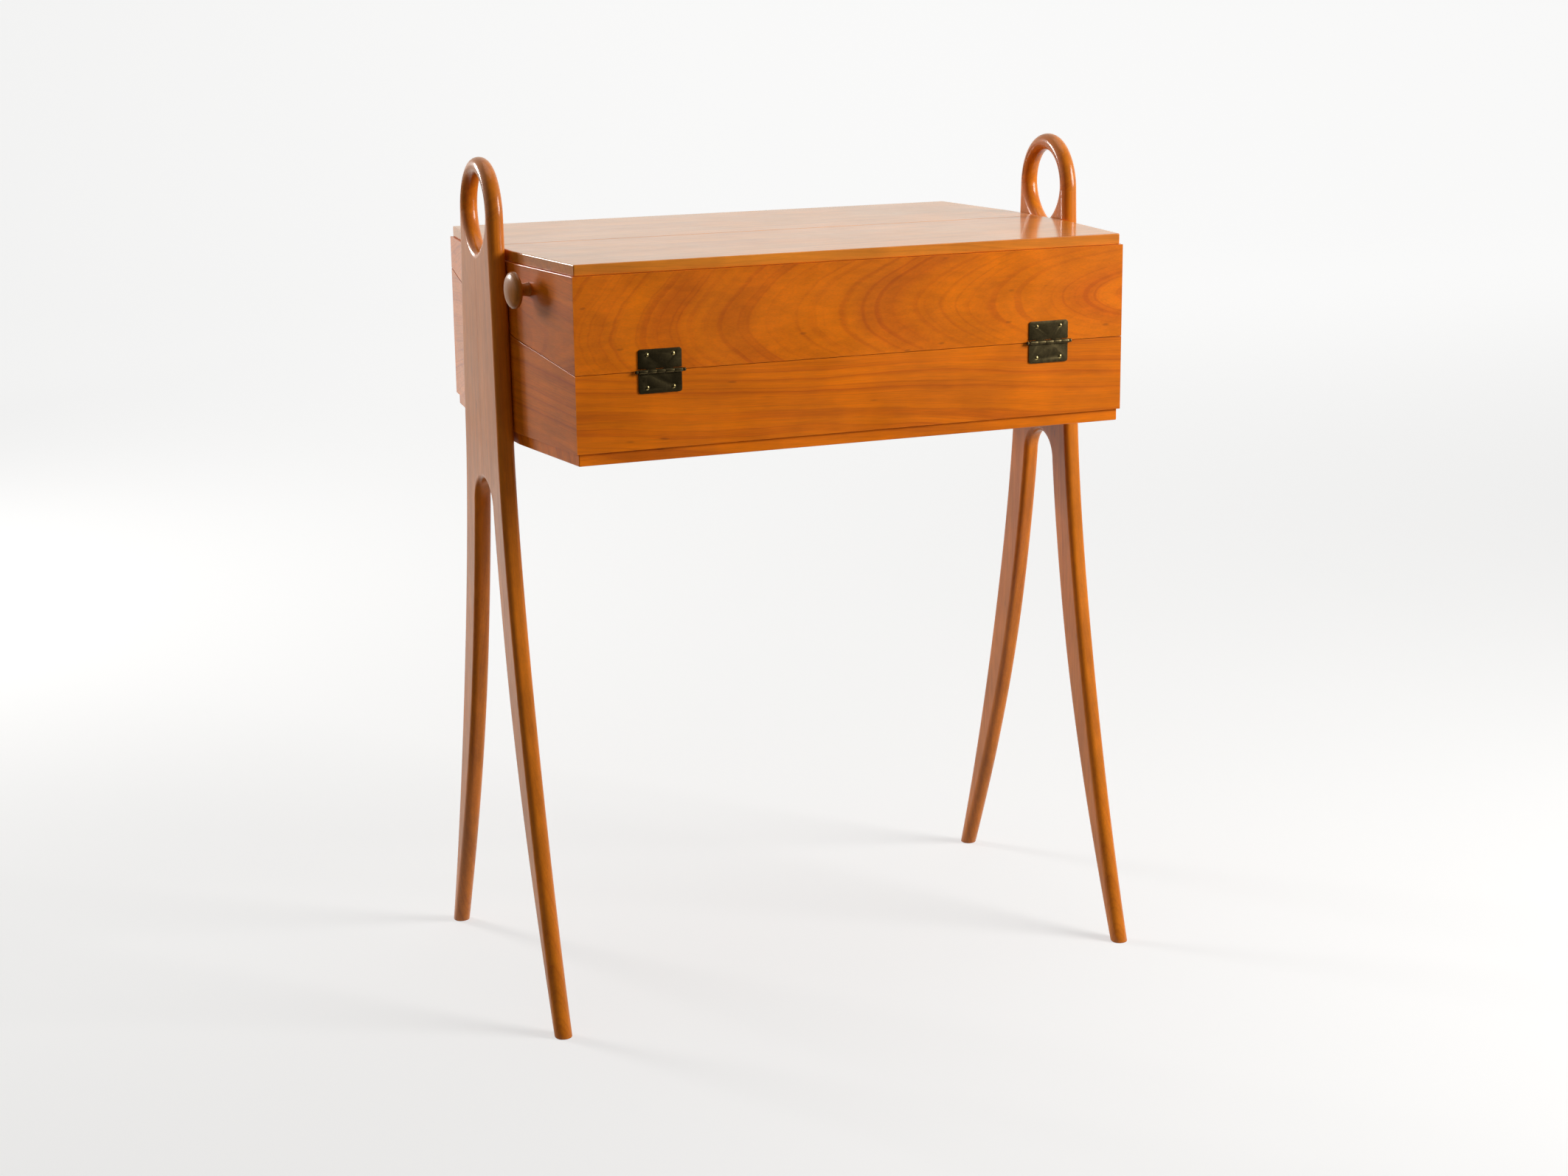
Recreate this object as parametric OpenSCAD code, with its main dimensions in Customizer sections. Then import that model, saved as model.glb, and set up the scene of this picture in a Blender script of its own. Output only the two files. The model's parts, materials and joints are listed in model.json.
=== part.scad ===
// Sewing table: a long box with pointed ends, hung between two A-shaped leg
// frames that end in ring handles.  The box is sawn through on a slant; its upper
// part is two lids that fold outwards on butt hinges, one to the front and one to
// the back.  Origin: on the floor under the middle of the table.  +X runs along
// the box, -Y is the front, +Z is up.  Every size is in millimetres.

/* [Box] */
// Length of the box between its front corners
box_l = 540; // [420:1:700]
// Depth of the box from front face to back face
box_w = 378; // [300:1:480]
// Distance that the middle of each end stands out past the corners
end_rise = 15; // [8:0.5:22]
// Width of the flat on each end, where the leg frame is fixed
end_flat = 116; // [114:1:150]
// Thickness of the walls
wall_t = 9; // [7:0.5:12]
// Height of the underside of the box above the floor
box_base_z = 535; // [450:1:620]
// Height of the walls, from the bottom board to the top board
wall_h = 155; // [135:1:200]
// Thickness of the bottom board
bottom_t = 11; // [8:0.5:14]
// Thickness of the two top boards
top_t = 10; // [8:0.5:14]
// Distance that the top and bottom boards stay inside the walls
board_inset = 2.5; // [1:0.5:4]

/* [Saw cut and lids] */
// Height of the slanted cut above the bottom board, at the front face
front_cut_h = 69; // [50:1:80]
// Height of the slanted cut above the bottom board, at the back face
back_cut_h = 124; // [100:1:126]
// Width of the slanted cut
cut_gap = 0.6; // [0.4:0.1:1]
// Gap between the two lids along the middle of the top
lid_gap = 0.6; // [0.4:0.1:1.5]
// Gap between each lid end and the leg frame
lid_end_gap = 0.6; // [0.4:0.1:1.5]
// Thickness of the rail under each lid's free edge
rail_t = 8; // [6:0.5:12]
// Height of the rail under each lid's free edge
rail_h = 20; // [12:1:28]

/* [Compartments] */
// Thickness of the dividers
divider_t = 6; // [4:0.5:9]
// Distance that the dividers stay below the slanted cut
divider_drop = 8; // [4:0.5:20]
// Distance of each cross divider from the middle of the box
cross_x = 95; // [60:1:140]
// Play in the halved joints of the dividers
halving_play = 0.1; // [0.05:0.05:0.3]
// Thickness of the cleat inside each end
cleat_t = 12; // [10:0.5:16]
// Width of the cleat inside each end
cleat_w = 92; // [84:1:100]
// Height of the cleat inside each end
cleat_h = 78; // [70:1:84]

/* [Leg frames] */
// Thickness of the leg frames
frame_t = 16; // [14:0.5:20]
// Width of a leg at the floor
foot_w = 16.5; // [14:0.5:20]
// Greatest width of a leg
thigh_w = 35; // [28:0.5:38]
// Height at which a leg reaches its greatest width
thigh_z = 324; // [260:1:380]
// Distance from the middle of the frame to the outside of a foot
foot_reach = 176; // [150:1:200]
// Half width of the frame level with the underside of the box
hip_half = 56; // [54:0.5:57]
// Half width of the frame at the handle joint
shoulder_half = 48.5; // [46:0.5:52]
// Curve of the legs, where 1 is straight
leg_curve = 1.5; // [1.2:0.05:1.9]
// Drop from the underside of the box to the spring line of the arch between the legs
arch_drop = 68; // [55:1:90]

/* [Ring handles] */
// Height of the handle joint above the top of the table
handle_joint_h = 27; // [20:1:34]
// Height of the top of the handle above the handle joint
handle_rise = 53.5; // [48:0.5:60]
// Width of the hole in the handle
hole_w = 65; // [58:0.5:68]
// Thickness of the handle above its hole
grip_t = 16; // [14:0.5:18]
// Depth of the hole below its widest line
hole_drop = 36; // [30:0.5:38]
// Height of the hole's widest line above the handle joint
hole_mid_h = 4; // [2:0.5:8]
// Pointedness of the foot of the hole, where 2 is an ellipse
hole_point = 1.7; // [1.4:0.1:2]

/* [Hinges] */
// Width of a hinge along its pin
hinge_w = 40.5; // [34:0.5:50]
// Height of one leaf from the pin's centre line
leaf_h = 19.5; // [17:0.5:24]
// Thickness of a leaf
leaf_t = 1; // [0.8:0.1:1.4]
// Radius of the leaves' corners
leaf_r = 2.5; // [1.5:0.5:4]
// Radius of a hinge knuckle
knuckle_r = 2; // [1.8:0.1:2.4]
// Radius of a hinge pin
pin_r = 1.1; // [1:0.05:1.3]
// Running clearance around a hinge pin
pin_clear = 0.05; // [0.03:0.01:0.08]
// Length of pin that stands out at each end of a hinge
pin_out = 3.5; // [2:0.5:5]
// Gap between neighbouring knuckles, and around them
knuckle_gap = 0.3; // [0.25:0.05:0.5]
// Distance of each hinge from the middle of the box
hinge_x = 192; // [150:1:205]

/* [Knobs] */
// Radius of a knob's head
knob_r = 16.5; // [13:0.5:18]
// Thickness of a knob's head at its rim
knob_rim_t = 5; // [4:0.5:6]
// Height of the dome on a knob's head
knob_dome = 3; // [2:0.5:4]
// Length of a knob's stem
stem_l = 12; // [10:0.5:16]
// Radius of a knob's stem
stem_r = 6.5; // [5.5:0.5:8]
// Distance of the knobs behind the front face
knob_back = 92; // [80:1:105]
// Distance of the knobs below the top of the walls
knob_drop = 20; // [17:1:30]

/* [Fasteners] */
// Radius of the hinge screws' heads
head_r = 2; // [1.8:0.1:2.4]
// Height of the hinge screws' heads
head_h = 0.9; // [0.7:0.1:1]
// Radius of the hinge screws' shanks
shank_r = 1.2; // [1:0.1:1.4]
// Depth of the hinge screws in the wall
shank_l = 6.5; // [5:0.5:8]
// Radius of the large screws' shanks
bolt_r = 2.2; // [2:0.1:2.8]
// Radius of the large screws' countersunk heads
bolt_head_r = 4.2; // [3.8:0.1:5]
// Depth of the frame screws in the leg frame
bolt_bite = 10; // [8:0.5:12]
// Distance of the frame screws from the middle of the frame
bolt_y = 30; // [26:1:36]
// Radius of the dowels in the leg frames
dowel_r = 4; // [3:0.5:5]
// Length of the dowels in the leg frames
dowel_l = 28; // [20:1:32]
// Clearance around screws and dowels
fixing_clear = 0.05; // [0.02:0.01:0.1]

/* [Hidden] */
$fn = 48;
SIDES = ["left", "right"];

// Steps in each curved stretch of an outline
curve_steps = 16;
// Reach of the solids that only cut others
cutter = 1000;

// Colours of the finishes
cherry = "#c47a33";
cherry_light = "#d08a45";
cherry_dark = "#a9622a";
patina = "#4a4438";
brass = "#b08d4a";

// Heights worked out from the sizes above
wall_base_z = box_base_z + bottom_t;
wall_top_z = wall_base_z + wall_h;
top_z = wall_top_z + top_t;
front_cut_z = wall_base_z + front_cut_h;
back_cut_z = wall_base_z + back_cut_h;
handle_joint_z = top_z + handle_joint_h;
handle_top_z = handle_joint_z + handle_rise;
hole_mid_z = handle_joint_z + hole_mid_h;
hole_top_z = handle_top_z - grip_t;
hole_base_z = hole_mid_z - hole_drop;
arch_z = box_base_z - arch_drop;

// Plan of the box
end_x = box_l / 2 + end_rise;
flat_y = end_flat / 2;
end_slope = end_rise / (box_w / 2 - flat_y);
end_angle = atan(end_slope);
frame_mid_x = end_x + frame_t / 2;

// Distance of a hinge's axis outside the wall
axis_out = knuckle_r + 0.15;
knuckle_len = (hinge_w - 4 * knuckle_gap) / 5;
head_x = hinge_w / 2 - 8;
head_z = leaf_h - 5;

// Height of the slanted cut at a depth y
function cut_z(y) = front_cut_z + (back_cut_z - front_cut_z) * (y + box_w / 2) / box_w;

// Corner of the box's plan, and corner of its end flat, a depth t inside the outer face
function corner(t) = [end_x - end_slope * (box_w / 2 - t - flat_y) - t / cos(end_angle), box_w / 2 - t];
function flat_corner(t) = [end_x - t, flat_y - t * (1 / cos(end_angle) - 1) / end_slope];

// A point turned over to the side of the box that sx and sy name, each 1 or -1
function turned(p, sx, sy) = [sx * p[0], sy * p[1]];

// Plan of the whole box, a depth t inside its outer face, between depths y_low and y_high
function plan(t) = [for (s = [[1, 1], [-1, 1], [-1, -1], [1, -1]])
    let (near = turned(flat_corner(t), s[0], s[1]), far = turned(corner(t), s[0], s[1]))
    each (s[0] * s[1] > 0 ? [near, far] : [far, near])];

// Outer edge of a leg, width of a leg and inner edge of a leg at a height z
function leg_out(z) = hip_half + (z < box_base_z
    ? (foot_reach - hip_half) * pow(1 - z / box_base_z, leg_curve)
    : (shoulder_half - hip_half) * (z - box_base_z) / (handle_joint_z - box_base_z));
function leg_w(z) = foot_w + (thigh_w - foot_w) * (1 - pow(1 - min(z / thigh_z, 1), 2));
function leg_in(z) = leg_out(z) - leg_w(z);

// Half width of the handle's hole and of the handle at a height z
function hole_half(z) = hole_w / 2 * (z > hole_mid_z
    ? sqrt(max(0, 1 - pow((z - hole_mid_z) / (hole_top_z - hole_mid_z), 2)))
    : pow(max(0, 1 - pow((hole_mid_z - z) / hole_drop, hole_point)), 1 / hole_point));
function handle_half(z) = shoulder_half * sqrt(max(0, 1 - pow((z - handle_joint_z) / handle_rise, 2)));

// Heights from a to b, closer together towards b
function eased(a, b) = [for (i = [0:curve_steps]) a + (b - a) * sin(90 * i / curve_steps)];
function even(a, b) = [for (i = [0:curve_steps]) a + (b - a) * i / curve_steps];

// ---- Helpers ----

// Extrudes a Y-Z outline along X by t, centred on x
module slab_x(x, t) {
    translate([x - t / 2, 0, 0]) rotate([90, 0, 90]) linear_extrude(t) children();
}

// Everything below the slanted cut, lowered by d
module below_cut(d) {
    slab_x(0, 2 * cutter)
        polygon([[-cutter, 0], [cutter, 0], [cutter, cut_z(cutter) - d], [-cutter, cut_z(-cutter) - d]]);
}

// A cylinder along X from x1 to x2, at y and z
module rod_x(x1, x2, y, z, r) {
    translate([min(x1, x2), y, z]) rotate([0, 90, 0]) cylinder(r = r, h = abs(x2 - x1));
}

// ---- Leg frames ----

module leg_outline() {
    inner = [for (z = even(0, arch_z)) [leg_in(z), z]];
    arch_r = leg_in(arch_z);
    arch = [for (i = [1:curve_steps]) arch_r * [cos(90 * i / curve_steps), sin(90 * i / curve_steps)] + [0, arch_z]];
    hole = [for (i = [0:curve_steps]) let (z = hole_base_z + (handle_joint_z - hole_base_z) * pow(i / curve_steps, 1.7))
            [hole_half(z), z]];
    outer = [for (z = even(box_base_z, 0)) [leg_out(z), z]];
    polygon(concat(inner, arch, hole, [[shoulder_half, handle_joint_z]], outer));
}

// Bores for the screws that hold a leg to the box, in the frame on side sx
module frame_screw_bores(sx) {
    for (y = [-bolt_y, bolt_y], z = screw_rows())
        rod_x(sx * (end_x - cutter), sx * (end_x + bolt_bite), y, z, bolt_r + fixing_clear);
}

function screw_rows() = [wall_base_z + 18, wall_base_z + cleat_h - 16];
function dowel_rows() = [wall_base_z + cleat_h / 2, wall_top_z - 18];
function upright_y() = (hole_half(handle_joint_z) + shoulder_half) / 2;

// Dowels of one leg frame, grown by g: two join the halves, two hold the handle
module frame_dowel_set(sx, g) {
    for (z = dowel_rows())
        translate([sx * frame_mid_x, dowel_l / 2 + g, z]) rotate([90, 0, 0])
            cylinder(r = dowel_r + g, h = dowel_l + 2 * g);
    for (y = [-upright_y(), upright_y()])
        translate([sx * frame_mid_x, y, handle_joint_z - dowel_l / 2 - g])
            cylinder(r = dowel_r + g, h = dowel_l + 2 * g);
}

module leg(sx, sy) {
    color(cherry) difference() {
        slab_x(sx * frame_mid_x, frame_t) scale([sy, 1]) leg_outline();
        frame_screw_bores(sx);
        frame_dowel_set(sx, fixing_clear);
    }
}

module handle(sx) {
    outer = [for (z = eased(handle_joint_z, handle_top_z)) [handle_half(z), z]];
    hole = [for (z = eased(handle_joint_z, hole_top_z)) [hole_half(z), z]];
    n = curve_steps;
    color(cherry) difference() {
        slab_x(sx * frame_mid_x, frame_t) difference() {
            polygon(concat([for (p = outer) p], [for (i = [n - 1:-1:0]) [-outer[i][0], outer[i][1]]]));
            polygon(concat([[hole[0][0], handle_joint_z - 1]], hole,
                [for (i = [n - 1:-1:0]) [-hole[i][0], hole[i][1]]], [[-hole[0][0], handle_joint_z - 1]]));
        }
        frame_dowel_set(sx, fixing_clear);
    }
}

module frame_dowels(sx) {
    color(cherry_light) frame_dowel_set(sx, 0);
}

// Countersunk screw along X: head at x, point at x + s * length
module countersunk(x, s, length, y, z) {
    rod_x(x, x + s * length, y, z, bolt_r);
    translate([x, y, z]) rotate([0, s * 90, 0])
        cylinder(r1 = bolt_head_r, r2 = bolt_r, h = bolt_head_r - bolt_r);
}

// Seat of a countersunk head, whose mouth is at x and which narrows towards s
module head_seat(x, s, y, z) {
    translate([x, y, z]) rotate([0, s * 90, 0])
        cylinder(r1 = bolt_head_r + fixing_clear, r2 = bolt_r + fixing_clear, h = bolt_head_r - bolt_r);
}

module frame_screws(sx) {
    inside = end_x - wall_t - cleat_t;
    color(brass) for (y = [-bolt_y, bolt_y], z = screw_rows())
        countersunk(sx * inside, sx, cleat_t + wall_t + bolt_bite - 0.5, y, z);
}

// ---- Lower box ----

module bottom_board() {
    color(cherry_light) translate([0, 0, box_base_z]) linear_extrude(bottom_t) polygon(plan(board_inset));
}

// Plan of a long wall, at the front for sy = -1
module long_wall_plan(sy) {
    polygon([turned(corner(0), 1, sy), turned(corner(0), -1, sy),
             turned(corner(wall_t), -1, sy), turned(corner(wall_t), 1, sy)]);
}

// Plan of half an end, stopped at a depth y_stop from the middle
module end_plan(sx, sy, y_stop) {
    polygon([for (p = [corner(0), flat_corner(0), [end_x, y_stop],
                       [end_x - wall_t, y_stop], flat_corner(wall_t), corner(wall_t)]) turned(p, sx, sy)]);
}

// Wall stock over a plan, from the bottom board to the top boards
module wall_stock() {
    translate([0, 0, wall_base_z]) linear_extrude(wall_h) children();
}

module box_long_wall(sy) {
    color(cherry) difference() {
        intersection() {
            wall_stock() long_wall_plan(sy);
            below_cut(cut_gap / 2);
        }
        hinge_screw_bores(sy, -1);
    }
}

module box_end(sx, sy) {
    color(cherry) difference() {
        intersection() {
            wall_stock() end_plan(sx, sy, 0);
            below_cut(cut_gap / 2);
        }
        frame_screw_bores(sx);
    }
}

module cleat(sx) {
    inner = end_x - wall_t - cleat_t;
    color(cherry_light) difference() {
        translate([sx > 0 ? inner : -inner - cleat_t, -cleat_w / 2, wall_base_z])
            cube([cleat_t, cleat_w, cleat_h]);
        frame_screw_bores(sx);
        for (y = [-bolt_y, bolt_y], z = screw_rows()) head_seat(sx * inner, sx, y, z);
    }
}

divider_half_z = wall_base_z + (cut_z(0) - divider_drop - wall_base_z) / 2;

module long_divider() {
    half = end_x - wall_t - cleat_t;
    color(cherry_light) difference() {
        intersection() {
            translate([-half, -divider_t / 2, wall_base_z]) cube([2 * half, divider_t, wall_h]);
            below_cut(divider_drop);
        }
        for (s = [-1, 1])
            translate([s * cross_x - divider_t / 2 - halving_play, -divider_t, wall_base_z - 1])
                cube([divider_t + 2 * halving_play, 2 * divider_t, divider_half_z - wall_base_z + 1]);
    }
}

module cross_divider(sx) {
    half = box_w / 2 - wall_t;
    color(cherry_light) difference() {
        intersection() {
            translate([sx * cross_x - divider_t / 2, -half, wall_base_z]) cube([divider_t, 2 * half, wall_h]);
            below_cut(divider_drop);
        }
        translate([sx * cross_x - divider_t, -divider_t / 2 - halving_play, divider_half_z])
            cube([2 * divider_t, divider_t + 2 * halving_play, wall_h]);
    }
}

// ---- Lids, at the front for sy = -1 and at the back for sy = 1 ----

module lid_top(sy) {
    t = board_inset;
    pts = [corner(t), flat_corner(t), [end_x - t, lid_gap / 2]];
    color(cherry) translate([0, 0, wall_top_z]) linear_extrude(top_t)
        polygon(concat([for (p = pts) turned(p, 1, sy)],
                       [for (i = [len(pts) - 1:-1:0]) turned(pts[i], -1, sy)]));
}

module lid_long_wall(sy) {
    color(cherry) difference() {
        wall_stock() long_wall_plan(sy);
        below_cut(-cut_gap / 2);
        hinge_screw_bores(sy, 1);
    }
}

module lid_end(sx, sy) {
    reach = end_x - lid_end_gap;
    color(cherry) difference() {
        intersection() {
            wall_stock() end_plan(sx, sy, lid_gap / 2);
            translate([-reach, -cutter, 0]) cube([2 * reach, 2 * cutter, cutter]);
        }
        below_cut(-cut_gap / 2);
        if (sy < 0) knob_screw_bore(sx);
    }
}

module lid_rail(sy) {
    half = end_x - wall_t;
    y = lid_gap / 2 + rail_t / 2;
    color(cherry_light) translate([-half, sy * y - rail_t / 2, wall_top_z - rail_h])
        cube([2 * half, rail_t, rail_h]);
}

// ---- Knobs ----

knob_y = box_w / 2 - knob_back;
knob_z = wall_top_z - knob_drop;
knob_foot_x = end_x - end_slope * (knob_y - flat_y);

// Places children with +Z along the outward normal of the front end face on side sx
module at_knob(sx) {
    scale([sx, 1, 1]) translate([knob_foot_x, -knob_y, knob_z]) rotate([0, 0, -end_angle]) rotate([0, 90, 0])
        children();
}

module knob(sx) {
    neck = 1.5;
    head = stem_l + knob_rim_t;
    color(cherry_dark) at_knob(sx) difference() {
        rotate_extrude() polygon([[0, 0], [stem_r + neck, 0], [stem_r, 2 * neck], [stem_r, stem_l - 3 * neck],
            [stem_r + 2 * neck, stem_l - neck], [knob_r - neck, stem_l], [knob_r, stem_l + neck],
            [knob_r, head - neck], [knob_r - neck, head], [knob_r * 0.6, head + knob_dome * 0.8],
            [0, head + knob_dome]]);
        translate([0, 0, -1]) cylinder(r = bolt_r + fixing_clear, h = stem_l + 1);
    }
}

module knob_screw_bore(sx) {
    at_knob(sx) {
        translate([0, 0, -2 * wall_t]) cylinder(r = bolt_r + fixing_clear, h = 4 * wall_t);
        translate([0, 0, -wall_t]) cylinder(r1 = bolt_head_r + fixing_clear, r2 = bolt_r + fixing_clear,
            h = bolt_head_r - bolt_r);
    }
}

module knob_screws() {
    color(brass) for (sx = [-1, 1]) at_knob(sx) translate([0, 0, -wall_t]) {
        cylinder(r = bolt_r, h = wall_t + stem_l - 1);
        cylinder(r1 = bolt_head_r, r2 = bolt_r, h = bolt_head_r - bolt_r);
    }
}

// ---- Hinges ----

// Places children at a hinge with its axis along X through the origin and -Y outwards
module at_hinge(sx, sy) {
    translate([sx * hinge_x, sy * (box_w / 2 + axis_out), sy < 0 ? front_cut_z : back_cut_z])
        scale([1, -sy, 1]) children();
}

// Slots along the pin, numbered 0 to 4, that a knuckle fills
function knuckle_start(i) = -hinge_w / 2 + i * (knuckle_len + knuckle_gap);

// One leaf: up is 1 for the lid's leaf and -1 for the box's leaf
module leaf(sx, sy, up) {
    slots = up > 0 ? [1, 3] : [0, 2, 4];
    clear = knuckle_r + knuckle_gap;
    color(patina) at_hinge(sx, sy) scale([1, 1, up]) difference() {
        union() {
            translate([0, axis_out, 0]) rotate([90, 0, 0]) linear_extrude(leaf_t) leaf_outline(clear);
            for (i = slots) {
                translate([knuckle_start(i), axis_out - leaf_t, 0]) cube([knuckle_len, leaf_t, clear + 1]);
                rod_x(knuckle_start(i), knuckle_start(i) + knuckle_len, 0, 0, knuckle_r);
            }
        }
        rod_x(-hinge_w, hinge_w, 0, 0, pin_r + pin_clear);
        for (x = [-head_x, head_x])
            translate([x, 0, head_z]) rotate([-90, 0, 0]) cylinder(r = shank_r + fixing_clear, h = 2 * axis_out);
    }
}

// Outline of a leaf above the knuckles, with its two outer corners rounded
module leaf_outline(clear) {
    union() {
        translate([-hinge_w / 2, clear]) square([hinge_w, leaf_h - leaf_r - clear]);
        translate([-hinge_w / 2 + leaf_r, clear]) square([hinge_w - 2 * leaf_r, leaf_h - clear]);
        for (x = [-1, 1]) translate([x * (hinge_w / 2 - leaf_r), leaf_h - leaf_r]) circle(leaf_r);
    }
}

module hinge_pin(sx, sy) {
    half = hinge_w / 2 + pin_out;
    color(patina) at_hinge(sx, sy) union() {
        rod_x(-half, half, 0, 0, pin_r);
        for (s = [-1, 1]) rod_x(s * half, s * (half - 1.2), 0, 0, pin_r + 0.6);
    }
}

// Screws of one leaf: a domed head on the leaf and a shank in the wall
module leaf_screws(sx, sy, up) {
    at_hinge(sx, sy) for (x = [-head_x, head_x])
        translate([x, axis_out - leaf_t, up * head_z]) rotate([-90, 0, 0]) {
            translate([0, 0, -head_h]) cylinder(r1 = head_r * 0.6, r2 = head_r, h = head_h);
            cylinder(r = shank_r, h = leaf_t + shank_l);
        }
}

// Bores for the leaf screws of both hinges on a long wall
module hinge_screw_bores(sy, up) {
    for (sx = [-1, 1]) at_hinge(sx, sy) for (x = [-head_x, head_x])
        translate([x, 0, up * head_z]) rotate([-90, 0, 0])
            cylinder(r = shank_r + fixing_clear, h = axis_out + shank_l + fixing_clear);
}

module box_hinge_screws() {
    color(brass) for (sx = [-1, 1], sy = [-1, 1]) leaf_screws(sx, sy, -1);
}

module lid_hinge_screws(sy) {
    color(brass) for (sx = [-1, 1]) leaf_screws(sx, sy, 1);
}

// ---- Nodes ----

leg(-1, -1);  // left_front_leg
leg(-1, 1);  // left_back_leg
handle(-1);  // left_handle
frame_dowels(-1);  // left_frame_dowels
frame_screws(-1);  // left_frame_screws
leg(1, -1);  // right_front_leg
leg(1, 1);  // right_back_leg
handle(1);  // right_handle
frame_dowels(1);  // right_frame_dowels
frame_screws(1);  // right_frame_screws
bottom_board();
box_long_wall(-1);  // box_front_wall
box_long_wall(1);  // box_back_wall
box_end(-1, -1);  // box_left_front_end
box_end(-1, 1);  // box_left_back_end
box_end(1, -1);  // box_right_front_end
box_end(1, 1);  // box_right_back_end
cleat(-1);  // left_cleat
cleat(1);  // right_cleat
long_divider();
cross_divider(-1);  // left_cross_divider
cross_divider(1);  // right_cross_divider
lid_top(-1);  // front_lid_top
lid_long_wall(-1);  // front_lid_wall
lid_end(-1, -1);  // front_lid_left_end
lid_end(1, -1);  // front_lid_right_end
lid_rail(-1);  // front_lid_rail
knob(-1);  // left_knob
knob(1);  // right_knob
knob_screws();
lid_top(1);  // back_lid_top
lid_long_wall(1);  // back_lid_wall
lid_end(-1, 1);  // back_lid_left_end
lid_end(1, 1);  // back_lid_right_end
lid_rail(1);  // back_lid_rail
leaf(-1, -1, -1);  // front_left_box_leaf
leaf(-1, -1, 1);  // front_left_lid_leaf
hinge_pin(-1, -1);  // front_left_pin
leaf(1, -1, -1);  // front_right_box_leaf
leaf(1, -1, 1);  // front_right_lid_leaf
hinge_pin(1, -1);  // front_right_pin
leaf(-1, 1, -1);  // back_left_box_leaf
leaf(-1, 1, 1);  // back_left_lid_leaf
hinge_pin(-1, 1);  // back_left_pin
leaf(1, 1, -1);  // back_right_box_leaf
leaf(1, 1, 1);  // back_right_lid_leaf
hinge_pin(1, 1);  // back_right_pin
box_hinge_screws();
lid_hinge_screws(-1);  // front_lid_hinge_screws
lid_hinge_screws(1);  // back_lid_hinge_screws
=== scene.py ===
"""Looks of the vintage sewing table: a cherry box with two hinged lids between two ringed leg frames.

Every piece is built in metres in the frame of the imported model, and rides on one of its bodies: the
stand, the front lid or the back lid.
"""

import json
import logging
import math
from dataclasses import dataclass, field
from enum import Enum
from typing import Callable, Iterable

import bmesh
import bpy
from mathutils import Matrix, Vector

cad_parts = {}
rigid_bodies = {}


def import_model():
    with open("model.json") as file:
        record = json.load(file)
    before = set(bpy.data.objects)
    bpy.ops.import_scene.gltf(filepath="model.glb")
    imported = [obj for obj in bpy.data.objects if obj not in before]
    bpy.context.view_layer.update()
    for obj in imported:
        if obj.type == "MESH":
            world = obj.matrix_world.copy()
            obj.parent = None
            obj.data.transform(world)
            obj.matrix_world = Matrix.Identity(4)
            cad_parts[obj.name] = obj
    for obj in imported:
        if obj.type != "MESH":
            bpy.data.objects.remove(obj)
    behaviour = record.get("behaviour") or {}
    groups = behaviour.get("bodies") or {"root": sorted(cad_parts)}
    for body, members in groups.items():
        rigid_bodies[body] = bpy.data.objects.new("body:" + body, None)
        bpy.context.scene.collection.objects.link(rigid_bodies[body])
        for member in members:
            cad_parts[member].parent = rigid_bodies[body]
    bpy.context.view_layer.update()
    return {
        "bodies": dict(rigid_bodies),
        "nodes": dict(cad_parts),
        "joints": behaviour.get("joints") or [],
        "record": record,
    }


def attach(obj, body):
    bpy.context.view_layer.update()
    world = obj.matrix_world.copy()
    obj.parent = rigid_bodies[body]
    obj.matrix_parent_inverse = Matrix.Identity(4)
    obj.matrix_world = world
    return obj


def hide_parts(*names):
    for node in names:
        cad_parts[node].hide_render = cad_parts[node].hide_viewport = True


Point = tuple[float, float]
Triple = tuple[float, float, float]
Colour = tuple[float, float, float, float]
Inputs = dict[str | int, object]
Socket = bpy.types.NodeSocket
Mesh = bmesh.types.BMesh

LOG = logging.getLogger("sewing_table")
MM = 0.001
SIDES = {"left": -1, "right": 1}
LID_BODIES = {"front": "front_lid", "back": "back_lid"}
WHITE: Colour = (1.0, 1.0, 1.0, 1.0)
BLACK: Colour = (0.0, 0.0, 0.0, 1.0)
FLECK: Colour = (0.09, 0.025, 0.006, 1.0)


# ---------------------------------------------------------------------------
# Node helpers and shared effects
# ---------------------------------------------------------------------------


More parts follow.
